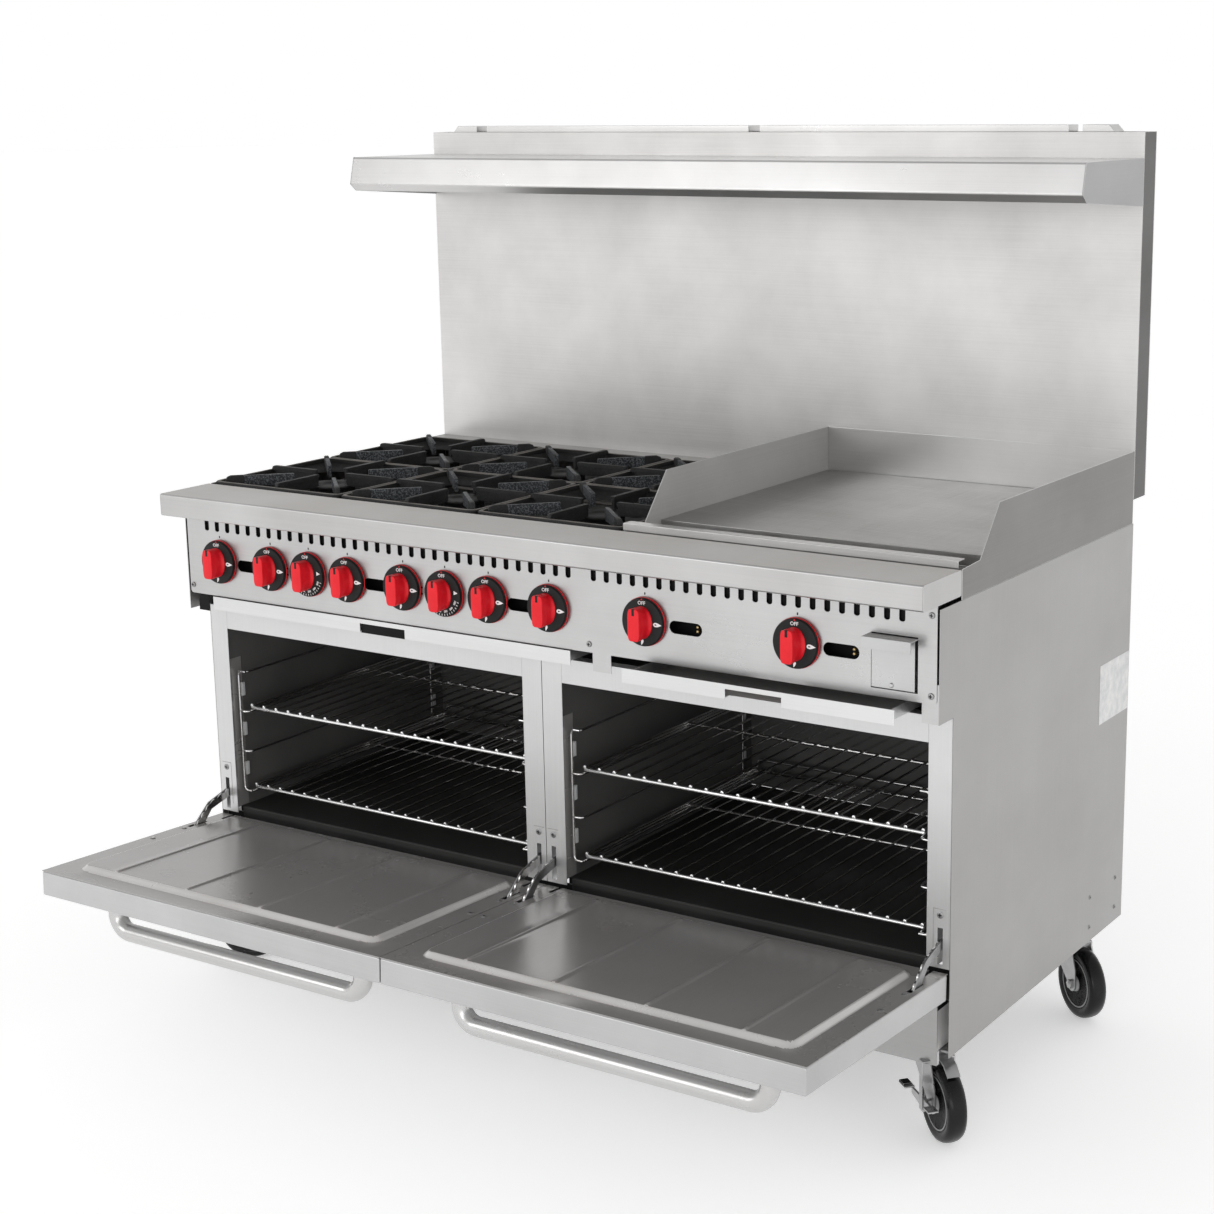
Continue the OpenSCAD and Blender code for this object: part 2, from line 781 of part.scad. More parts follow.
// ---------------------------------------------------------------- casters

// Turns children made with the trail along +x to a caster's place
module caster_place(side, end) {
    angle = end > 0 ? rear_trail_angle : front_trail_angle;
    y = end > 0 ? rear_plate_y : front_plate_y;
    in_frame() translate([side * plate_x, y, 0]) rotate([0, 0, side > 0 ? -angle : 180 + angle])
        children();
}

module fork(side, end) {
    leg_in = 19;
    leg_t = 3;
    crown_z = 133;
    color(zinc) caster_place(side, end) {
        translate([0, 0, 140]) cylinder(h = base_z - gap * 2 - 4 - 140, r = 26);
        translate([0, 0, crown_z + 4 + gap]) cylinder(h = 3 - gap * 2, r = 20);
        translate([-30, -leg_in - leg_t, crown_z]) cube([70, 2 * (leg_in + leg_t), 4]);
        for (s = [-1, 1])
            translate([0, s > 0 ? leg_in + leg_t : -leg_in, 0]) rotate([90, 0, 0])
                linear_extrude(leg_t)
                    polygon([[-30, crown_z - gap], [40, crown_z - gap], [trail + 12, wheel_r + 8],
                        [trail + 12, wheel_r - 12], [trail - 12, wheel_r - 12],
                        [-10, 100]]);
        translate([trail, 0, wheel_r]) rotate([90, 0, 0])
            cylinder(h = 2 * leg_in - 2 * gap, r = 5, center = true);
        for (s = [-1, 1])
            translate([trail, s * (leg_in + leg_t + gap + 3), wheel_r]) rotate([90, 0, 0])
                cylinder(h = 6, r = 8, center = true, $fn = 6);
    }
}

module wheel(side, end) {
    tread_w = 32;
    hub_w = 36;
    bore_r = 5.3;
    color(rubber) caster_place(side, end) translate([trail, 0, wheel_r]) rotate([90, 0, 0])
        difference() {
            union() {
                rotate_extrude() polygon([[44, -tread_w / 2 + 3], [wheel_r - 8, -tread_w / 2],
                    [wheel_r - 1.5, -tread_w / 4], [wheel_r, 0], [wheel_r - 1.5, tread_w / 4],
                    [wheel_r - 8, tread_w / 2], [44, tread_w / 2 - 3]]);
                cylinder(h = 14, r = 45, center = true);
                cylinder(h = hub_w, r = 14, center = true);
            }
            cylinder(h = hub_w + 2, r = bore_r, center = true);
        }
}

module front_left_fork() fork(-1, -1);
module front_right_fork() fork(1, -1);
module rear_left_fork() fork(-1, 1);
module rear_right_fork() fork(1, 1);
module front_left_wheel() wheel(-1, -1);
module front_right_wheel() wheel(1, -1);
module rear_left_wheel() wheel(-1, 1);
module rear_right_wheel() wheel(1, 1);

// A rocking lock lever on the outside of a front fork
module brake_pedal(side) {
    s = side > 0 ? -1 : 1;
    color(zinc) caster_place(side, -1) translate([trail, s * 33, wheel_r]) {
        rotate([s * 90, 0, 0]) translate([0, 0, -4]) cylinder(h = 8.6, r = 9);
        translate([-42, s > 0 ? 0 : -4, 2]) cube([84, 4, 10]);
        translate([-62, s > 0 ? 0 : -18, 13]) cube([26, 18, 3]);
        translate([36, s > 0 ? 0 : -18, 13]) cube([22, 18, 3]);
    }
}

module left_brake_pedal() brake_pedal(-1);
module right_brake_pedal() brake_pedal(1);

side_panels();
rear_panel();
base_frame();
face_frame();
kick_plate();
oven_liners();
rack_guides();
tube_burners();
control_panel();
front_ledge();
burner_box();
top_burners();
griddle_plate();
griddle_splash();
backguard();
flue_cap();
high_shelf();
gas_manifold();
body_screws();
left_door_shell();
left_door_liner();
left_door_handle();
left_hinge_arms();
right_door_shell();
right_door_liner();
right_door_handle();
right_hinge_arms();
knob_1();
knob_2();
knob_3();
knob_4();
knob_5();
knob_6();
knob_7();
knob_8();
knob_9();
knob_10();
left_upper_rack();
left_lower_rack();
right_upper_rack();
right_lower_rack();
left_crumb_tray();
right_crumb_tray();
grease_drawer();
grate_1();
grate_2();
grate_3();
grate_4();
grate_5();
grate_6();
front_left_fork();
front_right_fork();
rear_left_fork();
rear_right_fork();
front_left_wheel();
front_right_wheel();
rear_left_wheel();
rear_right_wheel();
left_brake_pedal();
right_brake_pedal();
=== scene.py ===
import json
import math

import bmesh
import bpy
from mathutils import Matrix, Vector

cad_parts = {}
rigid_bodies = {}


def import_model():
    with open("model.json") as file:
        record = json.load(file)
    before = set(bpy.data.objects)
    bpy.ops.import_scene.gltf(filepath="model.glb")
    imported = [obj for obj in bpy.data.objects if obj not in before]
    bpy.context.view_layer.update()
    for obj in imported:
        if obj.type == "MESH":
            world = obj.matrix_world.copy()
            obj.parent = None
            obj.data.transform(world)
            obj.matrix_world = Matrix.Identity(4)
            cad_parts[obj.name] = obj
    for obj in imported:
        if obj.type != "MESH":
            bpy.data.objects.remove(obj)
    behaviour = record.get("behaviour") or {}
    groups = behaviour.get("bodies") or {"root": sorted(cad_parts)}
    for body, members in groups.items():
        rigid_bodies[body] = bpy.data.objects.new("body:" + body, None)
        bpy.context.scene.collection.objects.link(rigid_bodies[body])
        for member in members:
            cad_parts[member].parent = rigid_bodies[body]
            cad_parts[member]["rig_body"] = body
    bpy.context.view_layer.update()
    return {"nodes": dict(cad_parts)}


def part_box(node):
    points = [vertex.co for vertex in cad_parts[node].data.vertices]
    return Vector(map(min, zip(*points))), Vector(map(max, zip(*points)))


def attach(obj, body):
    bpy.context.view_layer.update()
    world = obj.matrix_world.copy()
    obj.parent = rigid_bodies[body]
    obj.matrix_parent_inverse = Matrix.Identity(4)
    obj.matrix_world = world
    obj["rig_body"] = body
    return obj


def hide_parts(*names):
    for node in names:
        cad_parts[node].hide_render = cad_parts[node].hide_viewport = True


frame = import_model()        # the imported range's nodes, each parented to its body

# ---------------------------------------------------------------- frames and sizes
# Pieces are built in millimetres. In the design frame x is across from the middle,
# y is depth from the control panel's face, and z is height above the floor.
MM = 0.001
PANEL_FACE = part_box("control_panel")[0].y
DESIGN = Matrix.Translation((0, PANEL_FACE, 0)) @ Matrix.Scale(MM, 4)

HALF_W = 762.0                 # half the width of the body
SHEET = 1.5                    # thickness of the folded sheets
DECK_Z = 924.0                 # height of the cooking deck
LOW_HEAD = 1.4                 # height of the low screw heads

PIVOT = (26.0, 277.0)          # depth and height of the doors' hinge line
DOOR_TILT = math.radians(2.8)
DOOR_IN = 20.0                 # inner and outer faces of a door, measured from the hinge line
DOOR_OUT = -24.0
DOOR_WIDE = (0.8, 758.5)
DOOR_LONG = (-19.0, 414.0)
HINGE_XS = (15.5, 744.0)
BRACKET_XS = (28.5, 731.0)
PLATEAU = (4.0, 377.0)         # pressed field of a door's liner, along the door
PLATEAU_HALF = 337.0           # half the width of that field
LINER_SLOPE = 11.0             # width of the field's sloped rim
RIB_CENTRES = (-249, -83, 83, 249)
RIB_HALF = 6.0

CASTER_X = 702.0
CASTER_YS = {"front": 113.0, "rear": 662.0}
TRAIL_ANGLES = {"front": math.radians(40), "rear": math.radians(37)}
TRAIL = 44.0                   # from a caster's swivel axis to its axle
WHEEL_R = 63.5

SIDES = {"left": -1, "right": 1}


def door_place(side):
    """Door directions: x across, y towards the hinge line, z to the inside of the door."""
    hinge = Matrix.Translation((0, *PIVOT)) @ Matrix.Rotation(-DOOR_TILT, 4, "X")
    flip = Matrix.Scale(-1, 4, (1, 0, 0)) if side < 0 else Matrix.Identity(4)
    return DESIGN @ hinge @ flip


def caster_place(side, end):
    """A caster's swivel axis at the floor, with its trail along x."""
    angle = TRAIL_ANGLES[end]
    turn = -angle if side > 0 else math.pi + angle
    spot = Matrix.Translation((side * CASTER_X, CASTER_YS[end], 0))
    return DESIGN @ spot @ Matrix.Rotation(turn, 4, "Z")


def box_mm(node):
    """A CAD node's lowest and highest corner in the design frame."""
    back = DESIGN.inverted()
    low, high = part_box(node)
    return back @ low, back @ high


def span(side, first, second):
    """Two distances mirrored to one side, in rising order."""
    return sorted((side * first, side * second))


def link(thing):
    bpy.context.scene.collection.objects.link(thing)


# ---------------------------------------------------------------- materials
class Graph:
    """One material and the nodes that feed its shader."""

    def __init__(self, name, **settings):
        self.material = bpy.data.materials.new(name)
        self.material.use_nodes = True
        self.tree = self.material.node_tree
        self.shader = self.tree.nodes["Principled BSDF"]
        self.place = self.add("ShaderNodeTexCoord").outputs["Object"]
        for socket, value in settings.items():
            self.shader.inputs[socket.replace("_", " ")].default_value = value

    def add(self, kind, inputs=None, **settings):
        node = self.tree.nodes.new(kind)
        for key, value in settings.items():
            setattr(node, key, value)
        for key, value in (inputs or {}).items():
            self.feed(node.inputs[key], value)
        return node

    def feed(self, socket, value):
        if isinstance(value, bpy.types.NodeSocket):
            self.tree.links.new(value, socket)
        else:
            socket.default_value = value

    def stretched(self, stretch):
        return self.add("ShaderNodeMapping", {"Vector": self.place, "Scale": stretch}).outputs[0]

    def noise(self, scale, detail=3.0, roughness=0.5, stretch=None):
        vector = self.stretched(stretch) if stretch else self.place
        inputs = {"Vector": vector, "Scale": scale, "Detail": detail, "Roughness": roughness}
        return self.add("ShaderNodeTexNoise", inputs).outputs["Fac"]

    def cells(self, scale):
        inputs = {"Vector": self.place, "Scale": scale}
        return self.add("ShaderNodeTexVoronoi", inputs).outputs["Distance"]

    def spread(self, value, low, high, out_low=0.0, out_high=1.0):
        inputs = {"Value": value, "From Min": low, "From Max": high,
                  "To Min": out_low, "To Max": out_high}
        return self.add("ShaderNodeMapRange", inputs).outputs[0]

    def mix(self, share, first, second):
        node = self.add("ShaderNodeMix", data_type="RGBA")
        sockets = [s for s in node.inputs if s.type == "RGBA"]
        self.feed(node.inputs[0], share)
        self.feed(sockets[0], first)
        self.feed(sockets[1], second)
        return next(s for s in node.outputs if s.type == "RGBA")

    def times(self, first, second):
        node = self.add("ShaderNodeMath", operation="MULTIPLY")
        self.feed(node.inputs[0], first)
        self.feed(node.inputs[1], second)
        return node.outputs[0]

    def bump(self, height, strength, distance):
        inputs = {"Height": height, "Strength": strength, "Distance": distance}
        normal = self.add("ShaderNodeBump", inputs).outputs[0]
        self.feed(self.shader.inputs["Normal"], normal)

    def colour(self, value):
        self.feed(self.shader.inputs["Base Color"], value)

    def roughness(self, pattern, low, high):
        """Roughness that follows a pattern between two values."""
        self.feed(self.shader.inputs["Roughness"], self.spread(pattern, 0.3, 0.7, low, high))


def rgb(level, warm=0.0, alpha=1.0):
    """A grey of one level, slightly warm or cool."""
    return (level * (1 + warm), level, level * (1 - warm), alpha)


def brushed(name, level, warm, rough, grain, mottle=0.10, streak=0.12, metallic=0.88):
    """Brushed sheet: fine lines along the grain, soft clouds, faint smears."""
    g = Graph(name, Metallic=metallic)
    lines = g.noise(1.0, 4.0, 0.6, stretch=grain)
    clouds = g.noise(5.0, 5.0, 0.55)
    smears = g.noise(2.2, 6.0, 0.65, stretch=(1.0, 1.0, 2.5))
    cloudy = g.mix(g.spread(clouds, 0.3, 0.7), rgb(level * (1 - mottle), warm),
                   rgb(level * (1 + mottle * 0.6), warm * 0.5))
    g.colour(g.mix(g.times(g.spread(lines, 0.35, 0.65), streak), cloudy, rgb(level * 1.25, warm)))
    g.roughness(smears, rough - 0.05, rough + 0.07)
    g.bump(lines, 0.12, 0.0004)
    return g.material


GRAIN_X = (3.0, 420.0, 420.0)
GRAIN_Y = (420.0, 3.0, 420.0)
GRAIN_Z = (420.0, 420.0, 3.0)

STEEL = brushed("brushed_front", 0.62, 0.012, 0.30, GRAIN_X)
PANEL_STEEL = brushed("brushed_panel", 0.53, 0.006, 0.30, GRAIN_X)
DOOR_STEEL = brushed("brushed_door", 0.52, 0.0, 0.30, GRAIN_X)
TRAY_STEEL = brushed("brushed_tray", 0.68, 0.0, 0.32, GRAIN_X, mottle=0.05)
# Paler, non-metallic copy of the kick steel for the end returns: painted light.
KICK_END_LIT = brushed("kick_end", 0.85, 0.01, 0.50, GRAIN_Z, mottle=0.05, metallic=0.0)
KICK_STEEL = brushed("brushed_kick", 0.40, 0.01, 0.34, GRAIN_X)
GUARD_STEEL = brushed("brushed_guard", 0.66, 0.02, 0.36, GRAIN_X, mottle=0.14, streak=0.18,
                      metallic=0.60)
LEDGE_STEEL = brushed("brushed_ledge", 0.52, 0.012, 0.32, GRAIN_X)
# Near-black copy of the backguard steel for its sideways faces: painted shade.
GUARD_SIDE_SHADE = brushed("guard_end_painted_shade", 0.12, 0.03, 0.40, GRAIN_Z)
GUSSET_STEEL = brushed("shelf_gusset", 0.37, 0.0, 0.36, GRAIN_Y)
TOP_STEEL = brushed("matte_top_sheet", 0.60, 0.04, 0.58, GRAIN_X, mottle=0.08, metallic=0.08)
SPLASH_SIDE = brushed("splash_side", 0.48, 0.02, 0.48, GRAIN_Y, mottle=0.12, streak=0.2,
                      metallic=0.12)
SPLASH_SHADE = brushed("splash_shade", 0.22, 0.04, 0.48, GRAIN_Y, mottle=0.12, streak=0.2,
                       metallic=0.12)
SIDE_STEEL = brushed("brushed_side", 0.385, 0.02, 0.40, GRAIN_Z, mottle=0.06)
# Darker sheet for the upward faces of the trays and the grease drawer and for the creases on the
# posts: painted shade.
SHADE_STEEL = brushed("painted_shade_sheet", 0.34, 0.03, 0.50, GRAIN_X, mottle=0.08, metallic=0.25)
POST_STEEL = brushed("brushed_post", 0.64, 0.0, 0.34, GRAIN_Z, mottle=0.05, metallic=0.8)
LINER_STEEL = brushed("liner_steel", 0.38, 0.03, 0.25, GRAIN_Y, mottle=0.05, metallic=0.42)
# Paler copy of the liner steel for the field's sloped rim: painted highlight.
LINER_RIM_HIGHLIGHT = brushed("rim_painted_highlight", 0.66, 0.03, 0.28, GRAIN_Y, mottle=0.12, metallic=0.35)
TUBE_STEEL = brushed("satin_tube", 0.56, 0.01, 0.24, GRAIN_X, mottle=0.04)
REAR_STEEL = brushed("rear_sheet", 0.46, 0.0, 0.42, GRAIN_Z, mottle=0.12)


def griddle_material():
    """Ground plate: cross-hatched grinding marks, warm stains and fine pits."""
    g = Graph("griddle_ground", Metallic=1.0)
    along = g.noise(1.0, 4.0, 0.6, stretch=(500.0, 6.0, 500.0))
    across = g.noise(1.0, 4.0, 0.6, stretch=(9.0, 380.0, 380.0))
    stains = g.noise(4.0, 6.0, 0.6)
    base = g.mix(g.spread(stains, 0.35, 0.7), rgb(0.34, 0.03), rgb(0.48, 0.01))
    g.colour(g.mix(g.times(g.spread(along, 0.35, 0.65), 0.35), base, rgb(0.58)))
    g.roughness(across, 0.28, 0.46)
    g.bump(g.times(along, across), 0.25, 0.0006)
    return g.material


def enamel_material(name, level):
    """Black vitreous enamel with pale specks."""
    g = Graph(name, Specular_IOR_Level=0.4)
    specks = g.cells(420.0)
    clouds = g.noise(6.0, 4.0)
    base = g.mix(g.spread(clouds, 0.3, 0.7), rgb(level, 0.02), rgb(level * 1.4, 0.03))
    g.colour(g.mix(g.spread(specks, 0.12, 0.06), base, rgb(level * 3)))
    g.roughness(clouds, 0.30, 0.44)
    g.bump(g.noise(260.0, 3.0), 0.10, 0.0004)
    return g.material


def iron_material(name, level, speckle, rough, warm=0.0):
    """Sand-cast iron: grainy surface, blue-grey speckle and rubbed high spots."""
    g = Graph(name, Metallic=0.35, Specular_IOR_Level=0.45)
    sand = g.noise(330.0, 4.0, 0.75)
    patches = g.noise(28.0, 5.0, 0.6)
    grit = g.cells(620.0)
    base = g.mix(g.spread(patches, 0.35, 0.7), rgb(level * 0.7, warm), rgb(level * 1.4, warm))
    g.colour(g.mix(g.times(g.spread(sand, 0.48, 0.60), speckle), base, rgb(0.26, warm)))
    g.roughness(patches, rough - 0.10, rough + 0.08)
    g.bump(g.times(sand, g.spread(grit, 0.0, 0.6, 0.4, 1.0)), 0.55, 0.0012)
    return g.material


def zinc_material(name, level, rough, tint=(1.0, 1.0, 1.0)):
    """Zinc or brass plate with faint spangle and dull patches."""
    g = Graph(name, Metallic=0.9)
    spangle = g.cells(70.0)
    patches = g.noise(14.0, 5.0, 0.6)
    dull, clean, bright = ([c * level * k for c in tint] + [1] for k in (0.82, 1.1, 1.3))
    base = g.mix(g.spread(patches, 0.35, 0.65), dull, clean)
    g.colour(g.mix(g.times(g.spread(spangle, 0.2, 0.8), 0.22), base, bright))
    g.roughness(patches, rough - 0.06, rough + 0.10)
    g.bump(g.noise(320.0, 3.0), 0.08, 0.0004)
    return g.material


def chrome_material():
    """Bright plated wire with slight tarnish."""
    g = Graph("chrome_wire", Metallic=1.0)
    tarnish = g.noise(18.0, 5.0, 0.6)
    g.colour(g.mix(g.spread(tarnish, 0.4, 0.7), rgb(0.82), rgb(0.60, 0.03)))
    g.roughness(tarnish, 0.10, 0.24)
    g.bump(g.noise(400.0, 2.0), 0.04, 0.0003)
    return g.material


def plastic_material(name, dark, light, rough, shine=0.5, grain=700.0, speck=0.0):
    """Moulded plastic or rubber: fine grain, small tone changes, handled gloss."""
    g = Graph(name, Specular_IOR_Level=shine)
    patches = g.noise(30.0, 4.0, 0.6)
    fine = g.noise(grain, 3.0, 0.6)
    base = g.mix(g.spread(patches, 0.3, 0.7), dark, light)
    if speck:
        base = g.mix(g.times(g.spread(fine, 0.55, 0.75), speck), base, rgb(0.35))
    g.colour(base)
    g.roughness(patches, rough - 0.05, rough + 0.07)
    g.bump(fine, 0.10, 0.0003)
    return g.material


def heat_steel_material():
    """Sheet darkened by heat, brown and blue in patches."""
    g = Graph("heat_dark_steel", Metallic=0.9)
    patches = g.noise(9.0, 6.0, 0.65)
    soot = g.noise(30.0, 5.0, 0.6)
    tint = g.mix(g.spread(patches, 0.35, 0.7), (0.13, 0.11, 0.09, 1), (0.24, 0.23, 0.23, 1))
    g.colour(g.mix(g.spread(soot, 0.45, 0.75), tint, rgb(0.05)))
    g.roughness(soot, 0.38, 0.62)
    g.bump(soot, 0.10, 0.0006)
    return g.material


def label_material():
    """Blank foil label: pale, slightly crinkled."""
    g = Graph("blank_label", Metallic=0.2)
    crinkle = g.noise(60.0, 5.0, 0.6)
    g.colour(g.mix(g.spread(crinkle, 0.35, 0.65), rgb(0.62, -0.01), rgb(0.78, 0.01)))
    g.roughness(crinkle, 0.40, 0.55)
    g.bump(crinkle, 0.10, 0.0005)
    return g.material


GRIDDLE = griddle_material()
# The walls' enamel is a paler copy as painted light; the oven floor's is a darker copy as painted
# shade.
ENAMEL = enamel_material("black_enamel", 0.085)
ENAMEL_FLOOR_SHADE = enamel_material("enamel_floor_painted_shade", 0.018)
IRON = iron_material("cast_iron", 0.022, 0.05, 0.60)
IRON_ROUGH = iron_material("cast_iron_rough", 0.030, 0.62, 0.55, -0.08)
IRON_RIM = iron_material("cast_iron_rim", 0.16, 0.10, 0.60, 0.08)
# Near-black cast iron darkened further for the grates' sloping skirts and the burners: painted
# shade.
IRON_SHADE = iron_material("cast_iron_painted_shade", 0.008, 0.02, 0.68, 0.05)
# Pale matte stand-in for the metal clip plates: painted highlight.
CLIP_LIT = plastic_material("clip_painted_highlight", rgb(0.62), rgb(0.78), 0.40)
# Brighter copy of the rack wire for the front cross wire and the tips: painted light.
FRONT_WIRE_LIT = zinc_material("front_wire_painted_light", 0.92, 0.24)
BRASS = zinc_material("dull_brass", 0.50, 0.30, (1.0, 0.74, 0.36))
ZINC = zinc_material("zinc_plate", 0.52, 0.30)
ARM_ZINC = zinc_material("arm_zinc", 0.34, 0.32)
DARK_ZINC = zinc_material("dull_zinc", 0.34, 0.38)
CHROME = chrome_material()
HEAT_STEEL = heat_steel_material()
LABEL = label_material()
RED = plastic_material("red_plastic", (0.74, 0.008, 0.016, 1), (0.84, 0.012, 0.024, 1), 0.36, 0.30)
DIAL = plastic_material("dial_black", rgb(0.009), rgb(0.014), 0.46, 0.22, speck=0.02)
PRINT = plastic_material("dial_print", rgb(0.80), rgb(0.88), 0.50)
# Near-black for print marks and the toe pad, also used as painted shade in gaps, slots, notches and
# screw recesses.
BLACK_AND_SHADE = plastic_material("black_and_painted_shade", rgb(0.004), rgb(0.008), 0.70, 0.2)
TYRE = plastic_material("tyre_rubber", rgb(0.003), rgb(0.006), 0.24, 0.30, grain=300.0)
HUB = plastic_material("hub_grey", rgb(0.36), rgb(0.44), 0.42)
HUB_RING = plastic_material("hub_ring", rgb(0.26), rgb(0.32), 0.40)


# ---------------------------------------------------------------- mesh tools
def arc(centre, radius, start, stop, steps):
    """Points on an arc, angles in degrees."""
    return [(centre[0] + radius * math.cos(a), centre[1] + radius * math.sin(a))
            for a in (math.radians(start + (stop - start) * i / steps) for i in range(steps + 1))]


def filleted(points, radius, steps=5):
    """An open path of vectors with its inner corners rounded."""
    points = [Vector(p) for p in points]
    path = [points[0]]
    for before, corner, after in zip(points, points[1:], points[2:]):
        to_back, to_next = (before - corner).normalized(), (after - corner).normalized()
        half = to_back.angle(to_next) / 2
        cut = min(radius / math.tan(half), (before - corner).length / 2.01,
                  (after - corner).length / 2.01)
        bisector = (to_back + to_next).normalized()
        centre = corner + bisector * math.hypot(cut, cut * math.tan(half))
        start, stop = corner + to_back * cut - centre, corner + to_next * cut - centre
        turn = start.rotation_difference(stop)
        for i in range(steps + 1):
            part = turn.copy()
            part.angle = turn.angle * i / steps
            path.append(centre + part @ start)
    return path + [points[-1]]


def add_rings(bm, rings, material=0, caps=True):
    """Skins a list of rings that all have the same number of points."""
    rows = [[bm.verts.new(p) for p in ring] for ring in rings]
    made = []
    count = len(rows[0])
    for low, high in zip(rows, rows[1:]):
        for i in range(count):
            j = (i + 1) % count
            made.append(bm.faces.new((low[i], low[j], high[j], high[i])))
    if caps:
        made.append(bm.faces.new(rows[0][::-1]))
        made.append(bm.faces.new(rows[-1]))
    for face in made:
        face.material_index = material
    return made


# Puts a point of an outline and its distance along an axis in x, y, z order
AXES = {"x": lambda a, b, c: (c, a, b),
        "y": lambda a, b, c: (a, c, b),
        "z": lambda a, b, c: (a, b, c)}


def add_prism(bm, outline, low, high, axis="z", material=0):
    """An outline swept straight along one axis."""
    spot = AXES[axis]
    return add_rings(bm, [[spot(a, b, h) for a, b in outline] for h in (low, high)], material)


def add_block(bm, low, high, material=0):
    outline = [(low[0], low[1]), (high[0], low[1]), (high[0], high[1]), (low[0], high[1])]
    return add_prism(bm, outline, low[2], high[2], "z", material)


def add_tube(bm, path, radius, sides=12, material=0, taper=0.0):
    """A round bar along a path; taper rounds its ends over that length."""
    path = [Vector(p) for p in path]
    if taper:
        ends = [(0.35, 0.0), (0.8, taper * 0.5), (1.0, taper)]
        first, last = (path[1] - path[0]).normalized(), (path[-2] - path[-1]).normalized()
        path = ([path[0] + first * d for _, d in ends] + path[1:-1]
                + [path[-1] + last * d for _, d in ends[::-1]])
        scales = [s for s, _ in ends] + [1.0] * (len(path) - 6) + [s for s, _ in ends[::-1]]
    else:
        scales = [1.0] * len(path)
    rings = []
    normal = None
    for i, point in enumerate(path):
        ahead = path[min(i + 1, len(path) - 1)] - path[max(i - 1, 0)]
        ahead.normalize()
        if normal is None:
            normal = ahead.orthogonal().normalized()
        else:
            normal = (normal - ahead * normal.dot(ahead)).normalized()
        side = ahead.cross(normal)
        rings.append([point + radius * scales[i] * (normal * math.cos(a) + side * math.sin(a))
                      for a in (math.tau * k / sides for k in range(sides))])
    return add_rings(bm, rings, material)


def add_lathe(bm, profile, centre=(0, 0, 0), axis="z", steps=40, material=0):
    """A profile of (radius, height) points turned about an axis."""
    rings = []
    for radius, height in profile:
        radius = max(radius, 0.01)
        ring = [(radius * math.cos(a), radius * math.sin(a))
                for a in (math.tau * k / steps for k in range(steps))]
        rings.append([Vector(AXES[axis](u, v, height)) + Vector(centre) for u, v in ring])
    return add_rings(bm, rings, material)


def add_folded(bm, path, thickness, radius, low, high):
    """Sheet folded along a (depth, height) path and as long as low to high across."""
    line = [Vector((p.x, p.y)) for p in filleted([(a, b, 0) for a, b in path], radius)]
    inner = []
    for i, point in enumerate(line):
        ahead = (line[min(i + 1, len(line) - 1)] - line[max(i - 1, 0)]).normalized()
        inner.append(point + Vector((-ahead.y, ahead.x)) * thickness)
    outline = [(p.x, p.y) for p in line] + [(p.x, p.y) for p in inner[::-1]]
    return add_prism(bm, outline, low, high, "x")


def soften(bm, edges, radius, segments=2, clamp=True):
    """Rounds some edges of a mesh."""
    return bmesh.ops.bevel(bm, geom=edges, offset=radius, segments=segments, profile=0.5,
                           affect="EDGES", clamp_overlap=clamp)


def round_block(bm, low, high, radius, material=0):
    """A block with all its edges rounded."""
    faces = add_block(bm, low, high, material)
    for face in soften(bm, list({e for f in faces for e in f.edges}), radius)["faces"]:
        face.material_index = material


def shift(faces, spot):
    """Moves some faces of a mesh."""
    for vert in {v for f in faces for v in f.verts}:
        vert.co += Vector(spot)


def paint(bm, index, chosen):
    """Gives the faces that pass a test on face and middle their own material."""
    for face in bm.faces:
        if chosen(face, face.calc_center_median()):
            face.material_index = index


SHARP = math.radians(38)


def finish(bm, name, body, materials, place=DESIGN, replaces=(), bevel=0.0):
    """Turns built mesh into a piece in the row frame, riding on its body."""
    if bevel:
        bm.normal_update()
        sharp = [e for e in bm.edges
                 if len(e.link_faces) == 2 and e.calc_face_angle(0.0) > SHARP]
        soften(bm, sharp, bevel)
    bmesh.ops.recalc_face_normals(bm, faces=bm.faces)
    bm.transform(place)
    if place.determinant() < 0:
        bmesh.ops.reverse_faces(bm, faces=bm.faces)
    bm.normal_update()
    for edge in bm.edges:
        edge.smooth = len(edge.link_faces) == 2 and edge.calc_face_angle(0.0) < SHARP
    mesh = bpy.data.meshes.new(name)
    bm.to_mesh(mesh)
    bm.free()
    mesh.polygons.foreach_set("use_smooth", [True] * len(mesh.polygons))
    for material in materials:
        mesh.materials.append(material)
    piece = bpy.data.objects.new(name, mesh)
    link(piece)
    if bevel:
        weighted = piece.modifiers.new("weighted_normals", "WEIGHTED_NORMAL")
        weighted.keep_sharp = True
    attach(piece, body)
    if replaces:
        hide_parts(*replaces)
    return piece


FLAT = math.radians(0.3)
WELD = 1e-3


def body_of(node):
    return frame["nodes"][node]["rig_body"]


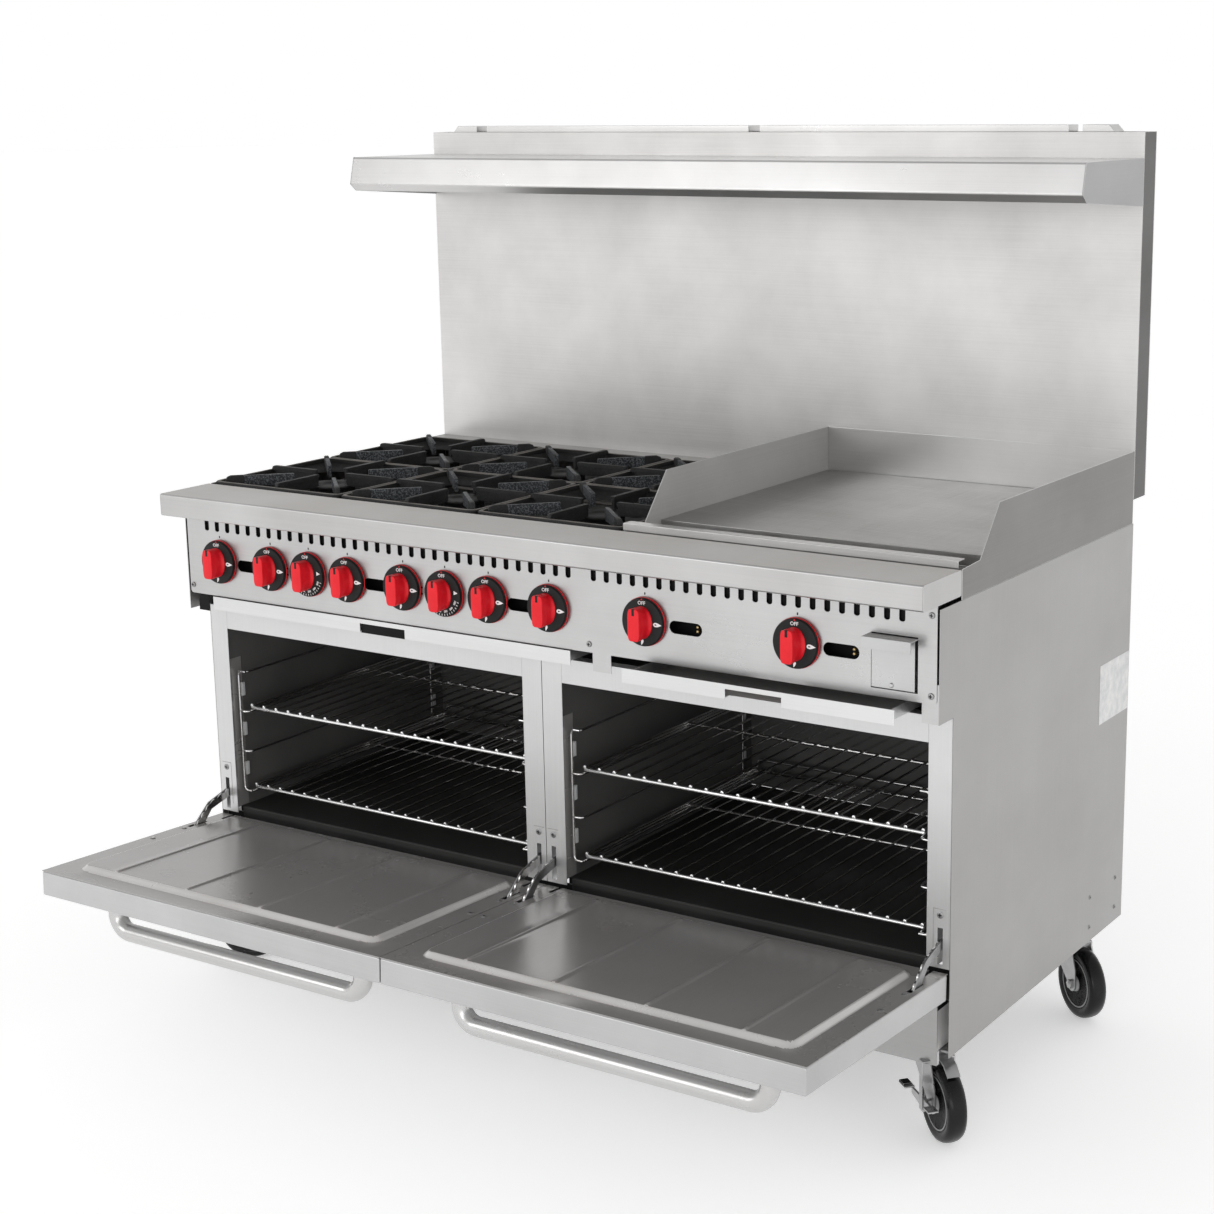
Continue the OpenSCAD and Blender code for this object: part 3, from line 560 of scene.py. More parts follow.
def dress(node, material, bevel=0.4, corner=0.0, place=DESIGN, extra=None):
    """A finished copy of a CAD node: welded, sharp edges broken, outer box edges rounded."""
    bm = bmesh.new()
    bm.from_mesh(frame["nodes"][node].data)
    bm.transform(place.inverted())
    bmesh.ops.remove_doubles(bm, verts=bm.verts, dist=WELD)
    bmesh.ops.dissolve_limit(bm, angle_limit=FLAT, verts=bm.verts, edges=bm.edges)
    if corner:
        low = [min(v.co[i] for v in bm.verts) for i in range(3)]
        high = [max(v.co[i] for v in bm.verts) for i in range(3)]
        outer = []
        for edge in bm.edges:
            planes = [(i, edges[i]) for i in range(3) for edges in (low, high)
                      if all(abs(v.co[i] - edges[i]) < 0.02 for v in edge.verts)]
            if len(planes) == 2:
                outer.append(edge)
        soften(bm, outer, corner, 4, clamp=False)
    for face in bm.faces:
        face.material_index = 0
    if extra:
        extra(bm)
    materials = material if isinstance(material, list) else [material]
    return finish(bm, node + "_finished", body_of(node), materials, place,
                  (node,), bevel)


def facing(axis, least):
    """Gives faces that look along one axis material 1; a negative least means one way only."""
    def assign(bm):
        bm.normal_update()
        for face in bm.faces:
            turned_to = face.normal[axis] if least < 0 else abs(face.normal[axis])
            if turned_to > abs(least):
                face.material_index = 1
    return assign


# ---------------------------------------------------------------- body sheet metal
dress("side_panels", SIDE_STEEL, 0.35)
dress("rear_panel", REAR_STEEL, 0.3)
dress("base_frame", DARK_ZINC, 0.8)
SILL_TOP = 301.0               # foot of the oven openings
KICK_STRIP = 224.0             # lower edge of the painted shade strip on the kick plate's ends
DECK_LIP = 314.0               # top of the oven floor's front lip
SPLASH_RIGHT = 700.0           # the splash's right sheet is beyond this
SKIN = 0.8                     # faces this close to the burner box's limits are outside
SIDEWAYS = 0.8                 # least normal of a face that looks along an axis


def shaded_sill(bm):
    """The strip behind the kick plate's top edge and the hinge brackets gets black: painted shade.
    """
    paint(bm, 1, lambda face, middle: middle.z < SILL_TOP)


def kick_ends(bm):
    """The kick plate's end returns get a paler, non-metallic sheet as painted light, with a black
    strip of painted shade along the top.
    """
    everything = list(bm.verts) + list(bm.edges) + list(bm.faces)
    bmesh.ops.bisect_plane(bm, geom=everything, plane_co=(0, 0, KICK_STRIP), plane_no=(0, 0, 1))
    facing(0, SIDEWAYS)(bm)
    paint(bm, 2, lambda face, middle: face.material_index and middle.z > KICK_STRIP)


def clean_outside(bm):
    """The burner box's outer walls and rear strip aren't darkened by heat."""
    low, high = box_mm("burner_box")
    paint(bm, 1, lambda face, middle: (middle.x < low.x + SKIN or middle.y > high.y - SKIN
                                       or middle.z > high.z - SKIN))


def splash_faces(bm):
    """The splash's end sheets are duller, and the right one is in shade."""
    facing(0, SIDEWAYS)(bm)
    paint(bm, 2, lambda face, middle: face.material_index == 1 and middle.x > SPLASH_RIGHT)


def dark_deck(bm):
    """The oven floor and its front lip get a darker copy of the enamel than the walls: painted
    shade.
    """
    bm.normal_update()
    paint(bm, 1, lambda face, middle: face.normal.z > 0.9 or middle.z < DECK_LIP)


def wider_vents(bm):
    """Opens the vents under the ledge a little; moves the left corner tab and paints it black as
    painted shade.
    """
    centres = [-708 + i * 25.1 for i in range(33)] + [145 + i * 25.2 for i in range(23)]
    vent_reach, widen = 4.2, 1.28
    for vert in bm.verts:
        if 851 < vert.co.z < 881 and -0.1 < vert.co.y < 2:
            near = min(centres, key=lambda c: abs(vert.co.x - c))
            if abs(vert.co.x - near) < vent_reach:
                vert.co.x = near + (vert.co.x - near) * widen
    tab_y, tab_x, tab_shift = 1.6, -700, 20
    paint(bm, 1, lambda face, middle: middle.y > tab_y and middle.x < tab_x)
    for vert in bm.verts:
        if vert.co.y > tab_y and vert.co.x < tab_x:
            vert.co.x += tab_shift


dress("face_frame", [POST_STEEL, BLACK_AND_SHADE], 0.35, extra=shaded_sill)
dress("kick_plate", [KICK_STEEL, KICK_END_LIT, BLACK_AND_SHADE], 0.4, extra=kick_ends)
dress("oven_liners", [ENAMEL, ENAMEL_FLOOR_SHADE], 0.4, extra=dark_deck)
dress("tube_burners", HEAT_STEEL, 0.8)
dress("control_panel", [PANEL_STEEL, BLACK_AND_SHADE], 0.35, extra=wider_vents)
dress("burner_box", [HEAT_STEEL, SIDE_STEEL], 0.4, extra=clean_outside)
dress("griddle_plate", GRIDDLE, 1.2)
dress("griddle_splash", [STEEL, SPLASH_SIDE, SPLASH_SHADE], 0.7, extra=splash_faces)
# The backguard's sideways faces take the near-black copy: painted shade.
dress("backguard", [GUARD_STEEL, GUARD_SIDE_SHADE], 0.35, extra=facing(0, SIDEWAYS))
dress("flue_cap", STEEL, 0.8)
dress("gas_manifold", DARK_ZINC, 0.6)


def front_ledge():
    """A channel folded with soft bends and closed by end caps."""
    low, high = box_mm("front_ledge")
    bend = 4.0
    bm = bmesh.new()
    path = [(-1, low.z), (low.y, low.z), (low.y, high.z), (high.y, high.z), (high.y, low.z)]
    add_folded(bm, path, -SHEET, bend, low.x + 0.6, high.x - 0.6)
    cap = filleted([(y, z, 0) for y, z in
                    [(0, low.z), (low.y, low.z), (low.y, high.z), (high.y, high.z),
                     (high.y, low.z), (0, low.z)]], bend)
    outline = [(p.x, p.y) for p in cap[:-1]]
    for x in (low.x, high.x - SHEET):
        add_prism(bm, outline, x, x + SHEET, "x")
    bmesh.ops.recalc_face_normals(bm, faces=bm.faces)
    # Upward faces get a pale, nearly non-metallic sheet.
    facing(2, -0.9)(bm)
    finish(bm, "front_ledge_folded", "range_body", [LEDGE_STEEL, TOP_STEEL],
           replaces=("front_ledge",), bevel=0.3)


def high_shelf():
    """Shelf folded from one sheet with a sloping nose, between two end gussets."""
    low, high = box_mm("high_shelf")
    nose = Vector((low.y, high.z - 51))
    lip = nose + Vector((16, -13))
    front = low.y + 13
    bm = bmesh.new()
    path = [(high.y, high.z), (front, high.z), tuple(nose), tuple(lip)]
    add_folded(bm, path, SHEET, 5.0, low.x + SHEET + 0.2, high.x - SHEET - 0.2)
    end = [(front, high.z), tuple(nose), tuple(lip), (high.y, high.z - 80), (high.y, high.z)]
    for x in (low.x, high.x - SHEET):
        add_prism(bm, end, x, x + SHEET, "x", 1)
    finish(bm, "high_shelf_folded", "range_body", [STEEL, GUSSET_STEEL],
           replaces=("high_shelf",), bevel=0.3)


front_ledge()
high_shelf()


def screw_profile(radius, height):
    return [(0, 0), (radius, 0), (radius, height * 0.35), (radius * 0.86, height * 0.8),
            (radius * 0.5, height), (0, height * 1.04)]


def add_screw(bm, spot, axis, side, radius=5.0, height=2.4):
    """Pan head with a crossed recess, standing on a face."""
    add_lathe(bm, [(r, side * h) for r, h in screw_profile(radius, height)], spot, axis, 24)
    arm, width, top = radius * 0.55, radius * 0.14, height * 1.10
    for a, b in ((arm, width), (width, arm)):
        outline = [(-a, -b), (a, -b), (a, b), (-a, b)]
        faces = add_prism(bm, outline, side * height * 0.7, side * top, axis, 1)
        shift(faces, spot)


def body_screws():
    """Screws of the control panel and the posts, and plugs on the right side."""
    bm = bmesh.new()
    for x, z in ((-750, 748), (134, 747), (748, 867), (748, 745)):
        add_screw(bm, (x, -0.1, z), "y", -1)
    for side in SIDES.values():
        for x in HINGE_XS:
            add_screw(bm, (side * x, 47.9, 388), "y", -1, 5.6, LOW_HEAD)
    for y, z in ((715, 239), (600, 239), (715, 184), (600, 184)):
        add_screw(bm, (HALF_W + 0.1, y, z), "x", 1, 4.0, 1.2)
    # The raised crosses on the heads are black: painted shade standing for the recesses.
    finish(bm, "pan_screws", "range_body", [DARK_ZINC, BLACK_AND_SHADE],
           replaces=("body_screws",))


body_screws()


def post_pockets():
    """Thin dark lines of painted shade along the creases where the sheet is pressed in around each
    hinge slot and its screw.
    """
    bm = bmesh.new()
    for side in SIDES.values():
        for x in HINGE_XS:
            near, far = span(side, x - 12, x - 11.2)
            if x > 100:
                add_block(bm, (near, 47.8, 318), (far, 48.1, 398), 0)
            low, high = span(side, x - 12, x + 10)
            add_block(bm, (low, 47.8, 397.2), (high, 48.1, 398), 0)
    finish(bm, "post_pockets", "range_body", [SHADE_STEEL])


post_pockets()


def side_label():
    """A blank rectangular label near the rear of the right side."""
    bm = bmesh.new()
    round_block(bm, (HALF_W + 0.05, 617, 546), (HALF_W + 0.35, 748, 651), 0.1)
    finish(bm, "side_label", "range_body", [LABEL])


side_label()


# ---------------------------------------------------------------- ovens
GUIDE_Z = 342.8
RACK_PITCH = 77.0
GUIDE_YS = (66.0, 616.0)
OVEN_IN, OVEN_OUT = 37.0, 725.0
JAMB_DEPTH, JAMB_TOP = 30.0, 598.0


def rack_guides():
    """Bent wire ladders on the oven walls, with clip plates, behind folded steel door jambs."""
    bm = bmesh.new()
    radius, reach = 2.2, 18.0
    top = GUIDE_Z + 3 * RACK_PITCH
    for side in SIDES.values():
        for wall, inward in ((OVEN_IN, 1), (OVEN_OUT, -1)):
            x = wall + inward * 8
            rail = side * (x + inward * reach)
            for y in GUIDE_YS:
                path = [(rail, y, top), (side * x, y, top),
                        (side * x, y, GUIDE_Z), (rail, y, GUIDE_Z)]
                add_tube(bm, filleted(path, 10), radius, 10)
                for i in range(3):
                    z = GUIDE_Z + (i + 0.5) * RACK_PITCH
                    near, far = span(side, wall + inward * 0.3, x - inward * 2.6)
                    # The clip plates take the pale matte material: painted highlight.
                    round_block(bm, (near, y + 10, z - 13), (far, y + 18, z + 13), 1.2, 1)
            for i in range(4):
                z = GUIDE_Z + i * RACK_PITCH
                path = [(side * x, GUIDE_YS[0], z), (rail, GUIDE_YS[0], z),
                        (rail, GUIDE_YS[1], z), (side * x, GUIDE_YS[1], z)]
                add_tube(bm, filleted(path, 9), radius, 10)
            near, far = span(side, wall + inward * 0.3, wall + inward * 1.0)
            add_block(bm, (near, 50.9, 312), (far, 50.9 + JAMB_DEPTH, JAMB_TOP), 2)
            # Black filler in the gap between the wall and the post's foot: painted shade.
            near, far = span(side, wall - inward * 1.4, wall + inward * 6.6)
            add_block(bm, (near, 62.2, 300.3), (far, 63.2, 310.2), 3)
    finish(bm, "rack_guide_wires", "range_body", [CHROME, CLIP_LIT, LINER_STEEL, BLACK_AND_SHADE],
           replaces=("rack_guides",))


rack_guides()


def wire_rack(node):
    """Round wire rack: heavy cross wires, fine long wires with upset tips, raised rear stop."""
    low, high = box_mm(node)
    bm = bmesh.new()
    left, right = low.x + 3, high.x - 3
    front, back = low.y + 4, high.y - 4
    heavy, fine, bars = 3.1, 2.1, 22
    cross_z, long_z = low.z + heavy, low.z + 8.2
    tip = [(1.6, 0), (2.8, 0.5), (3.0, 1.6), (2.8, 4.0), (1.8, 5.0)]
    # The front cross wire and the wire tips take material 1, a brighter copy: painted light.
    for y in (front, front + (back - front) * 0.57, back):
        add_tube(bm, [(left - 3, y, cross_z), (right + 3, y, cross_z)], heavy, 12,
                 1 if y == front else 0, taper=2)
    for i in range(bars):
        x = left + (right - left) * i / (bars - 1)
        add_tube(bm, [(x, low.y, long_z), (x, back, long_z)], fine, 10, taper=1.5)
        add_lathe(bm, tip, (x, low.y, long_z), "y", 14, 1)
    for x in (left, right):
        add_tube(bm, [(x, front, cross_z), (x, back, cross_z)], heavy * 0.85, 12)
    stop = [(left, back - 30, long_z), (left, back + 1.5, long_z), (left, back + 1.5, high.z - 3),
            (right, back + 1.5, high.z - 3), (right, back + 1.5, long_z),
            (right, back - 30, long_z)]
    add_tube(bm, filleted(stop, 8), 2.6, 12)
    finish(bm, node + "_wires", node, [CHROME, FRONT_WIRE_LIT], replaces=(node,))


for rack in ("left_upper_rack", "left_lower_rack", "right_upper_rack", "right_lower_rack"):
    wire_rack(rack)


# ---------------------------------------------------------------- doors
def ramp(value, start, stop):
    """Smooth step from 0 at start to 1 at stop."""
    t = min(max((value - start) / (stop - start), 0.0), 1.0)
    return t * t * (3 - 2 * t)


def liner_height(u, v):
    """Pressed shape of the door's inner panel above its flange."""
    rise, corner, rib_height = 8.0, 26.0, 2.4
    across, along = PLATEAU_HALF - abs(u), min(v - PLATEAU[0], PLATEAU[1] - v)
    edge = min(across, along)
    if across < corner and along < corner:
        edge = corner - math.hypot(corner - across, corner - along)
    height = rise * ramp(edge, 0.0, LINER_SLOPE)
    along = min(ramp(v, 14.0, 24.0), ramp(-v, -368.0, -358.0))
    for centre in RIB_CENTRES:
        height += rib_height * along * ramp(RIB_HALF - abs(u - centre), 0.0, RIB_HALF * 0.8)
    return height


def door_liner(side_name):
    """Pressed liner: flange, sloped rim, raised field and four ribs, with hinge slots."""
    side = SIDES[side_name]
    mid = sum(DOOR_WIDE) / 2
    cuts = [(h - 4.5, h + 4.5, 40, 84) for h in HINGE_XS]
    cuts += [(b - 3.5, b + 3.5, -19.1, 12) for b in BRACKET_XS]
    us = {DOOR_WIDE[0], DOOR_WIDE[1]}
    for low, high, _, _ in cuts:
        us |= {low, high}
    for s in (-1, 1):
        us |= {mid + s * (PLATEAU_HALF - LINER_SLOPE * i / 6) for i in range(11)}
    for centre in RIB_CENTRES:
        us |= {mid + centre + RIB_HALF * i / 6 for i in range(-6, 7)}
    us |= {mid + 18 * i for i in range(-17, 18)}
    vs = {DOOR_LONG[0], DOOR_LONG[1], 12.0, 84.0, 40.0}
    vs |= {PLATEAU[0] + LINER_SLOPE * i / 6 for i in range(14)}
    vs |= {PLATEAU[1] - LINER_SLOPE * i / 6 for i in range(14)}
    vs |= {60 + 22 * i for i in range(13)}
    us = thin(sorted(u for u in us if DOOR_WIDE[0] <= u <= DOOR_WIDE[1]))
    vs = thin(sorted(v for v in vs if DOOR_LONG[0] <= v <= DOOR_LONG[1]))
    bm = bmesh.new()
    grid = [[bm.verts.new((u, -v, DOOR_IN + liner_height(u - mid, v))) for u in us] for v in vs]
    for j in range(len(vs) - 1):
        for i in range(len(us) - 1):
            u, v = (us[i] + us[i + 1]) / 2, (vs[j] + vs[j + 1]) / 2
            if not any(a < u < b and c < v < d for a, b, c, d in cuts):
                bm.faces.new((grid[j][i], grid[j + 1][i], grid[j + 1][i + 1], grid[j][i + 1]))
    bmesh.ops.delete(bm, geom=[v for v in bm.verts if not v.link_faces], context="VERTS")
    bmesh.ops.recalc_face_normals(bm, faces=bm.faces)
    if next(iter(bm.faces)).normal.z < 0:
        bmesh.ops.reverse_faces(bm, faces=bm.faces)
    bmesh.ops.solidify(bm, geom=bm.faces, thickness=1.2)
    bm.normal_update()

    def on_rim(face, middle):
        inset = min(PLATEAU_HALF - abs(middle.x - mid),
                    -middle.y - PLATEAU[0], PLATEAU[1] + middle.y)
        return inset < LINER_SLOPE + 1 and 0.2 < face.normal.z < 0.97

    # The sloped rim gets the paler copy: painted highlight.
    paint(bm, 1, on_rim)
    name = side_name + "_door_liner"
    finish(bm, name + "_pressed", side_name + "_door", [LINER_STEEL, LINER_RIM_HIGHLIGHT],
           door_place(side), (name,))


def thin(values, least=0.6):
    """Sorted values without near repeats."""
    kept = values[:1]
    for value in values[1:]:
        if value - kept[-1] > least:
            kept.append(value)
    return kept


def door_handle(side_name):
    """Bent tube on two weld collars."""
    mid, reach, stand, bend, along, radius = 379.25, 279.0, 64.0, 42.0, 338.0, 16.0
    face = DOOR_OUT - 0.2
    bm = bmesh.new()
    path = [(mid - reach, -along, face), (mid - reach, -along, face - stand),
            (mid + reach, -along, face - stand), (mid + reach, -along, face)]
    add_tube(bm, filleted(path, bend, 14), radius, 32)
    for x in (mid - reach, mid + reach):
        profile = [(radius, -0.1), (radius + 3, -0.2), (radius + 2.4, -2.2), (radius, -4.0)]
        add_lathe(bm, profile, (x, -along, face), "z", 32)
    name = side_name + "_door_handle"
    finish(bm, name + "_tube", side_name + "_door", [TUBE_STEEL],
           door_place(SIDES[side_name]), (name,))


def hinge_arms(side_name):
    """Curved hinge plates, their notched inner links, pins and liner screws."""
    bm = bmesh.new()
    for x in HINGE_XS:
        edge = [(24, 73), (-32, 54), (-68, 20)]
        back = [(-74, -14), (0, -14), (6, -8), (6, 4), (-5, 8), (-55, 8),
                (-27, 41), (24, 57), (38, 47)]
        add_prism(bm, [(44, 60)] + edge + back, x + 0.3, x + 2.7, "x")
        notched = []
        for (a, b), (c, d) in zip(edge, edge[1:]):
            across = Vector((d - b, a - c)).normalized()
            for i in range(24):
                t, dip = i / 24, 1.1 * (1 + math.cos(i * math.tau / 8))
                notched.append((a + (c - a) * t - across.x * dip, b + (d - b) * t - across.y * dip))
        add_prism(bm, [(44, 59)] + notched + [(-68, 18)] + back, x - 2.7, x - 0.3, "x", 1)
        inward = -1 if x > 100 else 1
        ends = sorted((x + inward * 3, x + inward * 20))
        add_tube(bm, [(ends[0], 0, 0), (ends[1], 0, 0)], 3.9, 20, taper=1.0)
    for x, y in ((14, -172), (744, -172), (14, -95), (744, -95)):
        add_screw(bm, (x, y, DOOR_IN + 0.05), "z", 1, 5.0, LOW_HEAD)
    name = side_name + "_hinge_arms"
    finish(bm, name + "_plates", side_name + "_door", [ARM_ZINC, CHROME],
           door_place(SIDES[side_name]), (name,))


for side_name, side in SIDES.items():
    dress(side_name + "_door_shell", DOOR_STEEL, 0.3, 3.0, door_place(side))
    door_liner(side_name)
    door_handle(side_name)
    hinge_arms(side_name)


# ---------------------------------------------------------------- knobs
DIAL_FRONT = 10.0
KNOB_R = 40.0
THERMOSTATS = (3, 6)


def superellipse(half_w, half_h, power, height, count=56):
    ring = []
    for k in range(count):
        a = math.tau * k / count
        c, s = math.cos(a), math.sin(a)
        ring.append((half_w * math.copysign(abs(c) ** (2 / power), c),
                     half_h * math.copysign(abs(s) ** (2 / power), s), height))
    return ring


def flame(size, count=28):
    """A teardrop outline with its tip up."""
    points = []
    for k in range(count):
        t = math.tau * k / count
        points.append((size * 0.62 * math.sin(t) * math.sin(t / 2) ** 1.4, size * math.cos(t)))
    return points


def turned(points, angle, spot):
    c, s = math.cos(angle), math.sin(angle)
    return [(x * c - y * s + spot[0], x * s + y * c + spot[1]) for x, y in points]


def letters(bm, text, size, angle, spot, height):
    """Flat generic marks from the built-in font, in material 1."""
    curve = bpy.data.curves.new("marks", "FONT")
    curve.body = text
    curve.size = size
    curve.align_x, curve.align_y = "CENTER", "CENTER"
    curve.extrude = 0.08
    curve.offset = 0.12
    curve.resolution_u = 3
    holder = bpy.data.objects.new("marks", curve)
    link(holder)
    bpy.context.view_layer.update()
    mesh = bpy.data.meshes.new_from_object(
        holder.evaluated_get(bpy.context.evaluated_depsgraph_get()))
    where = Matrix.Translation((*spot, height)) @ Matrix.Rotation(angle, 4, "Z")
    mesh.transform(where)
    before = len(bm.faces)
    bm.from_mesh(mesh)
    bm.faces.ensure_lookup_table()
    for face in bm.faces[before:]:
        face.material_index = 1
    bpy.data.objects.remove(holder)
    bpy.data.curves.remove(curve)
    bpy.data.meshes.remove(mesh)


def knob_grip(number, place):
    """Bar grip that flares to a lens-shaped foot, with ribbed flanks and a dark index."""
    bm = bmesh.new()
    stations = [(19.6, 26.6, 2.0, 9.6), (19.4, 26.6, 2.0, 11.2), (17.6, 26.8, 2.1, 12.6),
                (15.8, 26.8, 2.2, 14.4), (14.6, 26.8, 2.4, 17.0), (14.7, 26.8, 2.4, 17.8),
                (13.0, 26.8, 2.8, 21.0), (13.1, 26.8, 2.9, 21.8), (11.8, 26.7, 3.4, 26.0),
                (11.2, 26.6, 4.2, 30.0), (11.2, 26.4, 4.8, 33.2), (10.6, 25.8, 5.0, 34.6),
                (9.4, 24.8, 5.0, 35.0)]
    add_rings(bm, [superellipse(*s) for s in stations])
    add_lathe(bm, [(38.6, 2.1), (KNOB_R - 0.1, 2.5), (KNOB_R - 0.1, 3.7), (39.4, 4.1), (20, 4.1)],
              steps=64)
    outline = [(-1.4, 36.2), (1.4, 36.2), (0.7, 38.6), (-0.7, 38.6)]
    add_prism(bm, outline, DIAL_FRONT - 0.6, DIAL_FRONT + 0.05)
    round_block(bm, (-2.4, 15.5, 33.6), (2.4, 26.9, 35.2), 0.3, 1)
    finish(bm, f"knob_{number}_grip", f"knob_{number}", [RED, DIAL], place,
           (f"knob_{number}",))


def knob_dial(number, place):
    """Black dial with its printed marks."""
    bm = bmesh.new()
    add_lathe(bm, [(4.0, 4.2), (39.2, 4.2), (39.4, 4.8), (39.2, 7.6), (37.8, DIAL_FRONT - 0.3),
                   (36.8, DIAL_FRONT), (0, DIAL_FRONT)], steps=64)
    add_lathe(bm, [(4, -30), (4, 5.4)], steps=24)
    top = DIAL_FRONT + 0.08
    letters(bm, "OFF", 8.2, 0.0, (0, 31.4), top)
    marks = []
    if number in THERMOSTATS:
        marks.append(turned([(-3.6, -3.6), (3.6, -3.6), (0, 4.6)], -math.pi / 2, (29, 5)))
        for i in range(11):
            a = math.radians(-18 - 9.2 * i)
            tick = [(-0.45, 33.6), (0.45, 33.6), (0.45, 37.0), (-0.45, 37.0)]
            marks.append(turned(tick, a - math.pi / 2, (0, 0)))
        for i, text in enumerate(("500", "400", "300", "200")):
            a = math.radians(-24 - 26 * i)
            spot = (29.2 * math.cos(a), 29.2 * math.sin(a))
            letters(bm, text, 5.2, a - math.pi / 2, spot, top)
    else:
        marks.append(turned(flame(8.0), -math.pi / 2, (29.5, -1)))
        marks.append(turned(flame(4.8), math.pi * 0.9, (0, -32.3)))
    for outline in marks:
        add_prism(bm, outline, top - 0.2, top + 0.06, material=1)
    if number not in THERMOSTATS:
        add_prism(bm, turned(flame(2.4), -math.pi / 2, (26.6, -1)), top, top + 0.12)
    finish(bm, f"knob_{number}_dial", f"knob_{number}", [DIAL, PRINT], place)


def knobs():
    marks = bmesh.new()
    for number in range(1, 11):
        low, high = box_mm(f"knob_{number}")
        x, z = (low.x + high.x) / 2, (low.z + high.z) / 2
        place = (DESIGN @ Matrix.Translation((x, 0, z)) @ Matrix.Rotation(math.pi / 2, 4, "X"))
        knob_grip(number, place)
        knob_dial(number, place)
        # Index mark pressed into the panel above each knob
        add_prism(marks, [(x - 1.2, z + 43), (x + 1.2, z + 43), (x + 1.2, z + 47),
                          (x - 1.2, z + 47)], -0.05, 0.3, "y")
        if number in THERMOSTATS:
            for up in (-7, 4):
                add_lathe(marks, [(1.8, -0.05), (1.8, 0.3)], (x - 51, 0, z + up), "y", 16)
    finish(marks, "panel_index_marks", "range_body", [BLACK_AND_SHADE])


knobs()


# ---------------------------------------------------------------- trays and drawer
def notch_shade():
    """Black strip close behind the finger notch of the left tray: painted shade."""
    low, high = box_mm("left_crumb_tray")
    middle = (low.x + high.x) / 2
    bm = bmesh.new()
    half, near, far = 49.5, low.y + 2.4, low.y + 3.2
    round_block(bm, (middle - half, near, low.z - 0.8), (middle + half, far, low.z + 15.6), 0.2)
    finish(bm, "left_tray_notch_back", "left_crumb_tray", [BLACK_AND_SHADE])


def tray_front(bm):
    """Deeper finger notch in a tray's front, and darker upper faces as painted shade."""
    low = min(v.co.z for v in bm.verts)
    front = min(v.co.y for v in bm.verts)
    notch_top, deeper = 11, 5
    for vert in bm.verts:
        if abs(vert.co.z - low - notch_top) < 0.1 and vert.co.y < front + 12.5:
            vert.co.z += deeper
    facing(2, -0.9)(bm)


for tray in ("left_crumb_tray", "right_crumb_tray"):
    dress(tray, [TRAY_STEEL, SHADE_STEEL], 0.35, extra=tray_front)
# The drawer's upward faces take the darker sheet: painted shade.
dress("grease_drawer", [DOOR_STEEL, SHADE_STEEL], 0.35, extra=facing(2, -0.9))
notch_shade()


def slot_shade_and_pilots():
    """Black inner sheets behind the slots and the vents as painted shade, and the small brass pilot
    tubes seen in two of the slots.
    """
    bm = bmesh.new()
    add_block(bm, (-740, 31.5, 776), (640, 32.5, 822))
    add_block(bm, (-730, 6, 848), (730, 7, 879))
    for x in (338, 616):
        for rise in (-4, 3):
            add_tube(bm, [(x, 5, 795 + rise), (x, 30, 795 + rise)], 2.4, 14, 1, taper=1.0)
    finish(bm, "slot_shade_and_pilots", "range_body", [BLACK_AND_SHADE, BRASS])


slot_shade_and_pilots()


# ---------------------------------------------------------------- cooktop
def add_plate(bm, turn, outline, half, chamfer, material=0):
    """An upright plate in the plane of a ray from the middle, with eased edges."""
    middle = sum((Vector(p) for p in outline), Vector((0, 0))) / len(outline)
    rows = []
    for offset, inset in ((-half, chamfer), (chamfer - half, 0),
                          (half - chamfer, 0), (half, chamfer)):
        row = []
        for point in outline:
            shrunk = Vector(point) - middle
            shrunk.length = max(shrunk.length - inset, 0.1)
            row.append(turn @ Vector((middle.x + shrunk.x, offset, middle.y + shrunk.y)))
        rows.append(row)
    add_rings(bm, rows, material)


